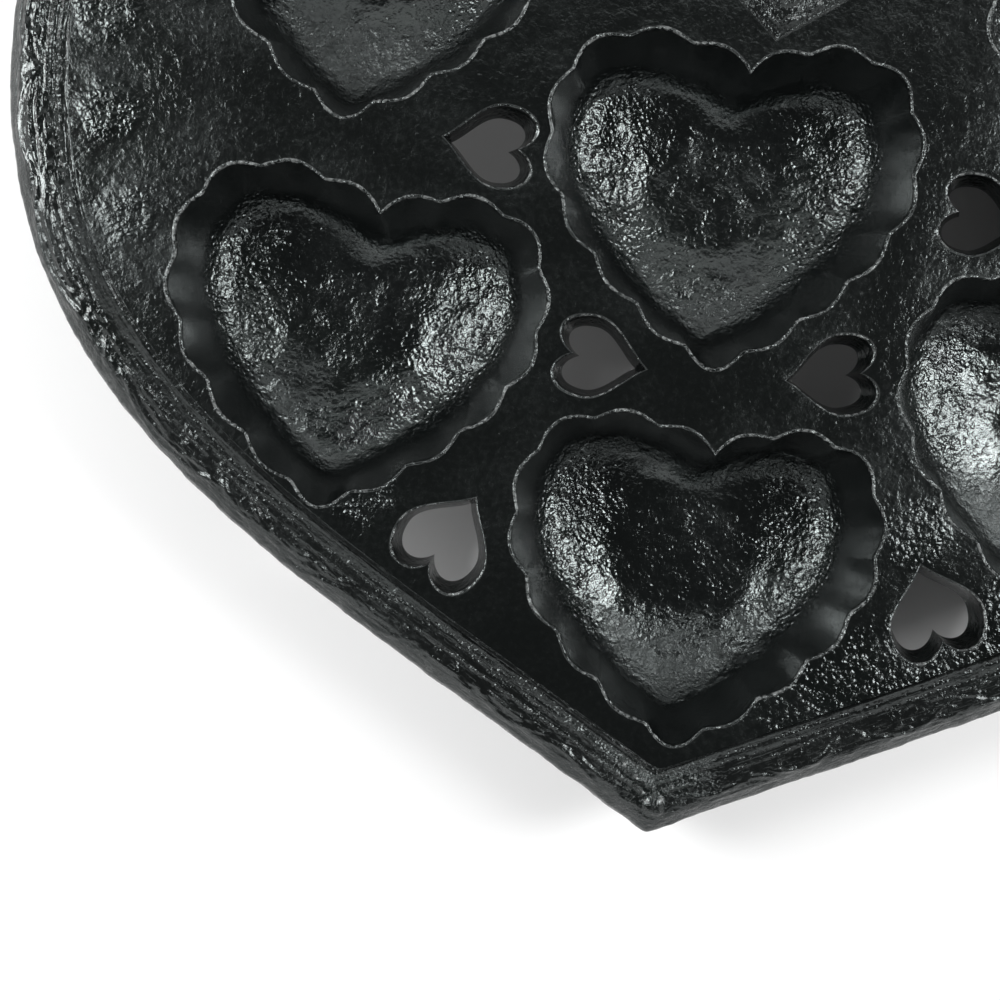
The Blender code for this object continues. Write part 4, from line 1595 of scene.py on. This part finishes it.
@dataclass(frozen=True)
class IronFinish:
    """Seasoned black cast iron on one stretch of the pan.

    Attributes:
        name: Name of the material.
        dark: Colour of the oily iron.
        dull: Colour of its duller patches.
        gloss: Roughness where the oil has pooled.
        dry: Roughness of the dull patches.
        coat: Strength of the film of oil.
        bump: Strength of the sand skin.
        shine: Index of refraction of the skin.
        bark: Whether the bark's grain follows the border.
        bare_and_glint: Colour of the grey flecks on the rims of cups and holes, partly wear and partly a
            painted highlight.
        matte_roughness: Roughness that dry, fibrous iron adds.
        fuzz_height: Height of the fuzz on dry iron, in millimetres.
        bead_height: Height of the beads on the border's lines, in millimetres.
        fibre_height: Height of the bark's finest strands, in millimetres.
    """

    name: str
    dark: tuple[float, float, float]
    dull: tuple[float, float, float]
    gloss: float
    dry: float
    coat: float
    bump: float
    shine: float
    bark: bool = False
    bare_and_glint: tuple[float, float, float] = (0.135, 0.141, 0.140)
    matte_roughness: float = 0.15
    fuzz_height: float = 0.55
    bead_height: float = 0.36
    fibre_height: float = 0.13

    def make(self, skin: bpy.types.NodeTree, seasoning: bpy.types.NodeTree) -> bpy.types.Material:
        """Make the material from the groups that all the iron shares."""
        material = bpy.data.materials.new(self.name)
        material.use_nodes = True
        desk = NodeDesk(material.node_tree)
        surface = material.node_tree.nodes["Principled BSDF"]
        place = desk.add("ShaderNodeTexCoord").outputs["Object"]
        share = desk.stored_number(SKIN_ATTRIBUTE)
        sand = desk.add("ShaderNodeGroup", node_tree=skin)
        desk.feed(sand, "Place", place)
        desk.feed(sand, "Pebbles", share)
        film = desk.add("ShaderNodeGroup", node_tree=seasoning)
        desk.feed(film, "Place", place)
        patches = desk.math("MULTIPLY", film.outputs["Dull"], 0.6)
        age = desk.math("MULTIPLY_ADD", film.outputs["Streaks"], 0.4, patches)
        matte = self.matte(desk, place)
        rough = desk.ramp(age, 0.1, 0.8, self.gloss, self.dry)
        desk.feed(surface, "Base Color", self.colour(desk, place, share, age))
        desk.feed(surface, "Roughness", desk.math("MULTIPLY_ADD", matte, self.matte_roughness, rough))
        desk.feed(surface, "Coat Weight", self.oil(desk, film.outputs["Dull"], matte, share))
        surface.inputs["Coat Roughness"].default_value = 0.16
        surface.inputs["Coat IOR"].default_value = 1.45
        surface.inputs["IOR"].default_value = self.shine
        surface.inputs["Specular Tint"].default_value = (0.91, 1.0, 0.99, 1.0)
        bump = desk.add("ShaderNodeBump")
        desk.feed(bump, "Height", self.height(desk, sand.outputs["Height"], place, matte))
        bump.inputs["Distance"].default_value = 0.001
        bump.inputs["Strength"].default_value = self.bump
        desk.feed(surface, "Normal", bump.outputs[0])
        return material

    def matte(self, desk: NodeDesk, place: object) -> bpy.types.NodeSocket:
        """Where the iron is dry and fibrous, with a broken edge."""
        dry = desk.stored_number(MATTE_ATTRIBUTE)
        broken = desk.ramp(desk.noise(place, 0.0030, 4.0, 0.7), 0.25, 0.75, -0.45, 0.45)
        uneven = desk.math("MULTIPLY", broken, desk.ramp(dry, 0.0, 0.5))
        return desk.ramp(desk.math("ADD", dry, uneven), 0.0, 1.1)

    def colour(self, desk: NodeDesk, place: object, share: object, age: object) -> bpy.types.NodeSocket:
        """Black iron, greyer where the oil is old, and grey in flecks on the rims of cups and holes:
        partly edge wear, partly a painted highlight.
        """
        mix = desk.add("ShaderNodeMix", data_type="RGBA")
        desk.feed(mix, 0, age)
        desk.feed(mix, 6, self.dark + (1.0,))
        desk.feed(mix, 7, self.dull + (1.0,))
        spells = desk.ramp(desk.noise(place, 0.012, 1.0), 0.42, 0.58, 0.10, 1.0)
        flecks = desk.ramp(desk.noise(place, 0.0010, 2.0), 0.42, 0.62)
        flecks = desk.math("MULTIPLY", flecks, spells)
        # Painted highlight: grey flecks on the rims of cups and holes, partly edge wear as well.
        worn_and_glint = desk.add("ShaderNodeMix", data_type="RGBA")
        on_edge = desk.ramp(share, Skin.PEBBLED.value, Skin.WORN_AND_GLINT.value)
        desk.feed(worn_and_glint, 0, desk.math("MULTIPLY", on_edge, flecks))
        desk.feed(worn_and_glint, 6, mix.outputs[2])
        desk.feed(worn_and_glint, 7, self.bare_and_glint + (1.0,))
        return worn_and_glint.outputs[2]

    def oil(self, desk: NodeDesk, dull: object, matte: object, share: object) -> bpy.types.NodeSocket:
        """Strength of the oil film, which is thin on dry and on pebbly iron."""
        coat = desk.ramp(dull, 0.2, 0.9, self.coat, 0.3 * self.coat)
        wet = desk.math("SUBTRACT", 1.0, desk.math("MULTIPLY", matte, 0.8))
        pooled = desk.math("MULTIPLY", wet, desk.ramp(share, 0.14, 0.60, 1.0, 0.04))
        return desk.math("MULTIPLY", coat, pooled)

    def height(
        self, desk: NodeDesk, sand: object, place: object, matte: object
    ) -> bpy.types.NodeSocket:
        """Height of the sand skin with bark, beads and dry fuzz on it, in millimetres."""
        height = sand
        if self.bark:
            height = desk.math("ADD", height, self.grain(desk))
            height = desk.math("ADD", height, self.beads(desk))
        fuzz = desk.math("MULTIPLY", desk.noise(place, 0.0013, 4.0, 0.7), matte)
        return desk.math("MULTIPLY_ADD", fuzz, self.fuzz_height, height)

    def grain(self, desk: NodeDesk) -> bpy.types.NodeSocket:
        """Height of fine bark strands that run along the border, in millimetres."""
        strand = desk.stored_vector(STRAND_MAP)
        long_fibres = desk.noise(desk.stretched(strand, (0.22, 1.0, 1.0)), 0.00055, 3.0, 0.6)
        cracks = desk.noise(desk.stretched(strand, (0.12, 1.0, 1.0)), 0.0009, 2.0)
        split = desk.ramp(cracks, 0.40, 0.52, -0.10, 0.0)
        return desk.math("MULTIPLY_ADD", long_fibres, self.fibre_height, split)

    def beads(self, desk: NodeDesk) -> bpy.types.NodeSocket:
        """Height of the beads that stand on the border's lines, in millimetres."""
        strand = desk.stored_vector(STRAND_MAP)
        gaps = desk.add("ShaderNodeSeparateXYZ")
        desk.feed(gaps, 0, desk.stored_vector(LINE_GAPS))
        shares = desk.add("ShaderNodeSeparateXYZ")
        desk.feed(shares, 0, desk.stored_vector(LINE_SHARES))
        dots = desk.add("ShaderNodeTexVoronoi", feature="F1")
        desk.feed(dots, "Vector", strand)
        desk.feed(dots, "Scale", 1150.0)
        beaded = desk.ramp(dots.outputs["Distance"], 0.58, 0.08)
        total = 0.0
        for gap, share in zip(gaps.outputs, shares.outputs):
            near = desk.ramp(desk.math("ABSOLUTE", gap), 0.00050, 0.00008)
            total = desk.math("MULTIPLY_ADD", near, share, total)
        return desk.math("MULTIPLY", desk.math("MULTIPLY", total, beaded), self.bead_height)


@dataclass(frozen=True)
class SoftBox:
    """A soft studio lamp.

    Attributes:
        name: Name of the lamp.
        place: Where it hangs.
        aim: The point that it faces.
        size: Its width and height.
        power: Its power in watts.
    """

    name: str
    place: tuple[float, float, float]
    aim: tuple[float, float, float]
    size: tuple[float, float]
    power: float

    def hang(self) -> None:
        """Add the lamp to the scene."""
        lamp = bpy.data.lights.new(self.name, "AREA")
        lamp.shape = "RECTANGLE"
        lamp.size = self.size[0]
        lamp.size_y = self.size[1]
        lamp.energy = self.power
        holder = bpy.data.objects.new(self.name, lamp)
        bpy.context.scene.collection.objects.link(holder)
        holder.location = self.place
        holder.visible_camera = False
        towards = Vector(self.aim) - Vector(self.place)
        holder.rotation_euler = towards.to_track_quat("-Z", "Y").to_euler()


@dataclass
class Studio:
    """White table that sweeps up into a backdrop, soft lamps round the pan, and the camera.

    Each of table_rings gives the size of a ring of the table against the pan's outline, and the share of
    plain white there: small under the pan, which paints the pan's shade onto the table, and larger
    further out. The last ring is a circle at table_reach, under the backdrop.
    """

    table_colour: tuple[float, float, float] = (0.92, 0.92, 0.92)
    # Painted light: how fast the table's white share under the pan grows towards the left, as if more
    # light came from that side.
    painted_light_lean: float = 0.050
    table_rings: tuple[tuple[float, float], ...] = (
        (0.0, 0.033),
        (0.60, 0.034),
        (0.80, 0.052),
        (0.92, 0.14),
        (1.02, 0.30),
        (1.16, 0.38),
        (1.50, 0.40),
        (6.0, 0.40),
        (16.0, 0.40),
    )
    table_reach: float = 1.62
    backdrop_reach: float = 1.9
    backdrop_height: float = 1.1
    backdrop_bend: float = 0.30
    backdrop_corners: int = 64
    camera_place: tuple[float, float, float] = (-0.0477, -0.0335, 0.3074)
    camera_turn: tuple[float, float, float] = (-2.36, -1.74, 8.92)
    lens: float = 54.83
    world_strength: float = 0.055
    boxes: tuple[SoftBox, ...] = (
        SoftBox("left_soft_box", (-0.48, 0.04, 0.43), (0.0, 0.0, 0.0), (0.20, 0.32), 3.9),
        SoftBox("right_soft_box", (0.48, 0.10, 0.43), (0.0, 0.0, 0.0), (0.20, 0.32), 3.9),
        SoftBox("far_soft_box", (-0.03, 0.50, 0.50), (0.0, 0.0, 0.0), (0.80, 0.40), 1.1),
        SoftBox("near_soft_box", (-0.10, -0.62, 0.34), (0.0, 0.0, 0.0), (0.80, 0.30), 0.5),
    )

    def build(self) -> None:
        """Set up the table, the light and the camera."""
        self.lay_table()
        self.hang_backdrop()
        self.light_world()
        for box in self.boxes:
            box.hang()
        self.set_camera()

    def lay_table(self) -> None:
        """Lay the white table that the pan rests on, from the middle of the pan outwards, with painted
        shade under the pan and painted light towards its left.
        """
        outline = PanHeart().drawn_in(0.0, 90)[0]
        rings = [ring_3d(outline * grown, 0.0) for grown, _ in self.table_rings[:-1]]
        round_edge = outline / np.linalg.norm(outline, axis=1)[:, None] * self.table_reach
        rings.append(ring_3d(round_edge, 0.0))
        table = extrude_through("white_table", rings, False)
        places = vertex_places(table)
        found = nearest_numbers(table, np.vstack(rings))
        # Painted shade: little plain white under the pan, more further out.
        share = np.repeat([glow for _, glow in self.table_rings], len(outline))[found]
        under = np.repeat([float(grown < 0.9) for grown, _ in self.table_rings], len(outline))[found]
        # Painted light: more plain white under the left of the pan.
        lean = np.clip(1.0 - under * places[:, 0] / self.painted_light_lean, 0.0, 2.2)
        mark(table, PAINTED_LIGHT_ATTRIBUTE, share * lean)
        table.data.materials.append(self.white("white_table_top", None))

    def hang_backdrop(self) -> None:
        """Sweep the backdrop up round the table."""
        angle = np.linspace(0.0, 2.0 * math.pi, self.backdrop_corners, endpoint=False)
        circle = np.column_stack([np.cos(angle), np.sin(angle)])
        rings = []
        for turn in np.linspace(0.0, math.pi / 2.0, 8):
            out = self.backdrop_reach - self.backdrop_bend * (1.0 - math.sin(turn))
            rings.append(ring_3d(circle * out, self.backdrop_bend * (1.0 - math.cos(turn))))
        rings.append(ring_3d(circle * self.backdrop_reach, self.backdrop_height))
        backdrop = extrude_through("white_backdrop", rings, False)
        backdrop.data.materials.append(self.white("white_backdrop_paper", 1.0))

    def white(self, name: str, glow: float | None) -> bpy.types.Material:
        """White paper that the camera and reflections see partly as plain white.

        Args:
            name: Name of the material.
            glow: Share of plain white, or None to read it from the mesh, where it holds the table's
                painted shade and painted light.

        Returns:
            The material.
        """
        material = bpy.data.materials.new(name)
        material.use_nodes = True
        desk = NodeDesk(material.node_tree)
        surface = material.node_tree.nodes["Principled BSDF"]
        surface.inputs["Base Color"].default_value = self.table_colour + (1.0,)
        surface.inputs["Roughness"].default_value = 0.8
        light = desk.add("ShaderNodeEmission")
        path = desk.add("ShaderNodeLightPath")
        seen = desk.math("MAXIMUM", path.outputs["Is Camera Ray"], path.outputs["Is Glossy Ray"])
        seen = desk.math("MAXIMUM", seen, path.outputs["Is Transmission Ray"])
        share = desk.stored_number(PAINTED_LIGHT_ATTRIBUTE) if glow is None else glow
        mix = desk.add("ShaderNodeMixShader")
        desk.feed(mix, 0, desk.math("MULTIPLY", seen, share))
        desk.feed(mix, 1, surface.outputs[0])
        desk.feed(mix, 2, light.outputs[0])
        desk.feed(material.node_tree.nodes["Material Output"], "Surface", mix.outputs[0])
        return material

    def light_world(self) -> None:
        """Give the world an even, dim light, like the ceiling of the room."""
        world = bpy.data.worlds.new("dim_room")
        bpy.context.scene.world = world
        world.use_nodes = True
        background = world.node_tree.nodes["Background"]
        background.inputs["Color"].default_value = (1.0, 1.0, 1.0, 1.0)
        background.inputs["Strength"].default_value = self.world_strength

    def set_camera(self) -> None:
        """Look down at the lower left part of the pan, as the photograph does."""
        camera = bpy.data.cameras.new("camera")
        camera.lens = self.lens
        camera.sensor_width = 36.0
        camera.clip_start = 0.01
        holder = bpy.data.objects.new("camera", camera)
        bpy.context.scene.collection.objects.link(holder)
        holder.location = self.camera_place
        holder.rotation_euler = tuple(math.radians(angle) for angle in self.camera_turn)
        bpy.context.scene.camera = holder
        bpy.context.scene.view_settings.view_transform = "Standard"


# The pan


@dataclass
class HeartPan:
    """The whole pan: border, plate and cups."""

    border_finish: IronFinish = IronFinish(
        "bark_iron", (0.0036, 0.0041, 0.0040), (0.0075, 0.0083, 0.0083), 0.14, 0.30, 0.5, 0.66, 1.50, True
    )
    plate_finish: IronFinish = IronFinish(
        "plate_iron", (0.0022, 0.0028, 0.0027), (0.0042, 0.0050, 0.0049), 0.13, 0.28, 0.6, 0.70, 1.56
    )
    cup_finish: IronFinish = IronFinish(
        "cup_iron", (0.0022, 0.0028, 0.0028), (0.0042, 0.0050, 0.0050), 0.12, 0.27, 0.6, 0.78, 1.64
    )
    cup_plans: tuple[CupPlan, ...] = (
        CupPlan("tip_cup", Place(0.0003, 0.0539, 2.5), 0.44, 0.70),
        CupPlan("left_cup", Place(-0.0697, 0.0884, -2.0), 0.55, 0.35),
        CupPlan("right_cup", Place(0.0682, 0.0899, -0.6), 0.62, 0.90),
        CupPlan("middle_cup", Place(-0.0041, 0.1249, 3.5), 0.50, 0.40),
        CupPlan("left_lobe_cup", Place(-0.0765, 0.1600, -1.2), 0.55, 0.70),
        CupPlan("right_lobe_cup", Place(0.0735, 0.1615, 1.8), 0.58, 0.70),
    )
    holes: tuple[SmallHeart, ...] = (
        SmallHeart(Place(-0.0459, 0.0510, 63.4), 0.0180, 0.0178),
        SmallHeart(Place(0.0467, 0.0513, 116.0), 0.0180, 0.0178),
        SmallHeart(Place(-0.0227, 0.0881, -3.6), 0.0150, 0.0168),
        SmallHeart(Place(0.0202, 0.0917, -165.6), 0.0150, 0.0168),
        SmallHeart(Place(-0.0497, 0.1239, 179.6), 0.0150, 0.0168),
        SmallHeart(Place(0.0444, 0.1254, -3.4), 0.0150, 0.0168),
    )

    def build(self) -> None:
        """Build every piece of the pan."""
        skin = CastSkin().group()
        seasoning = seasoning_group()
        border = Border(PanHeart())
        border.build(self.border_finish.make(skin, seasoning))
        cup_iron = self.cup_finish.make(skin, seasoning)
        cups = [
            HeartCup(plan.name, plan.place, CupShape(bowl_reach=plan.reach), 100 + number, plan.dryness)
            for number, plan in enumerate(self.cup_plans)
        ]
        for cup in cups:
            cup.build(cup_iron)
        Plate(border, cups, list(self.holes)).build(self.plate_finish.make(skin, seasoning))


def main() -> None:
    """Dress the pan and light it."""
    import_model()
    HeartPan().build()
    Studio().build()
    bpy.context.view_layer.update()


if __name__ == "__main__":
    logging.basicConfig(level=logging.INFO, format="%(message)s")
    main()
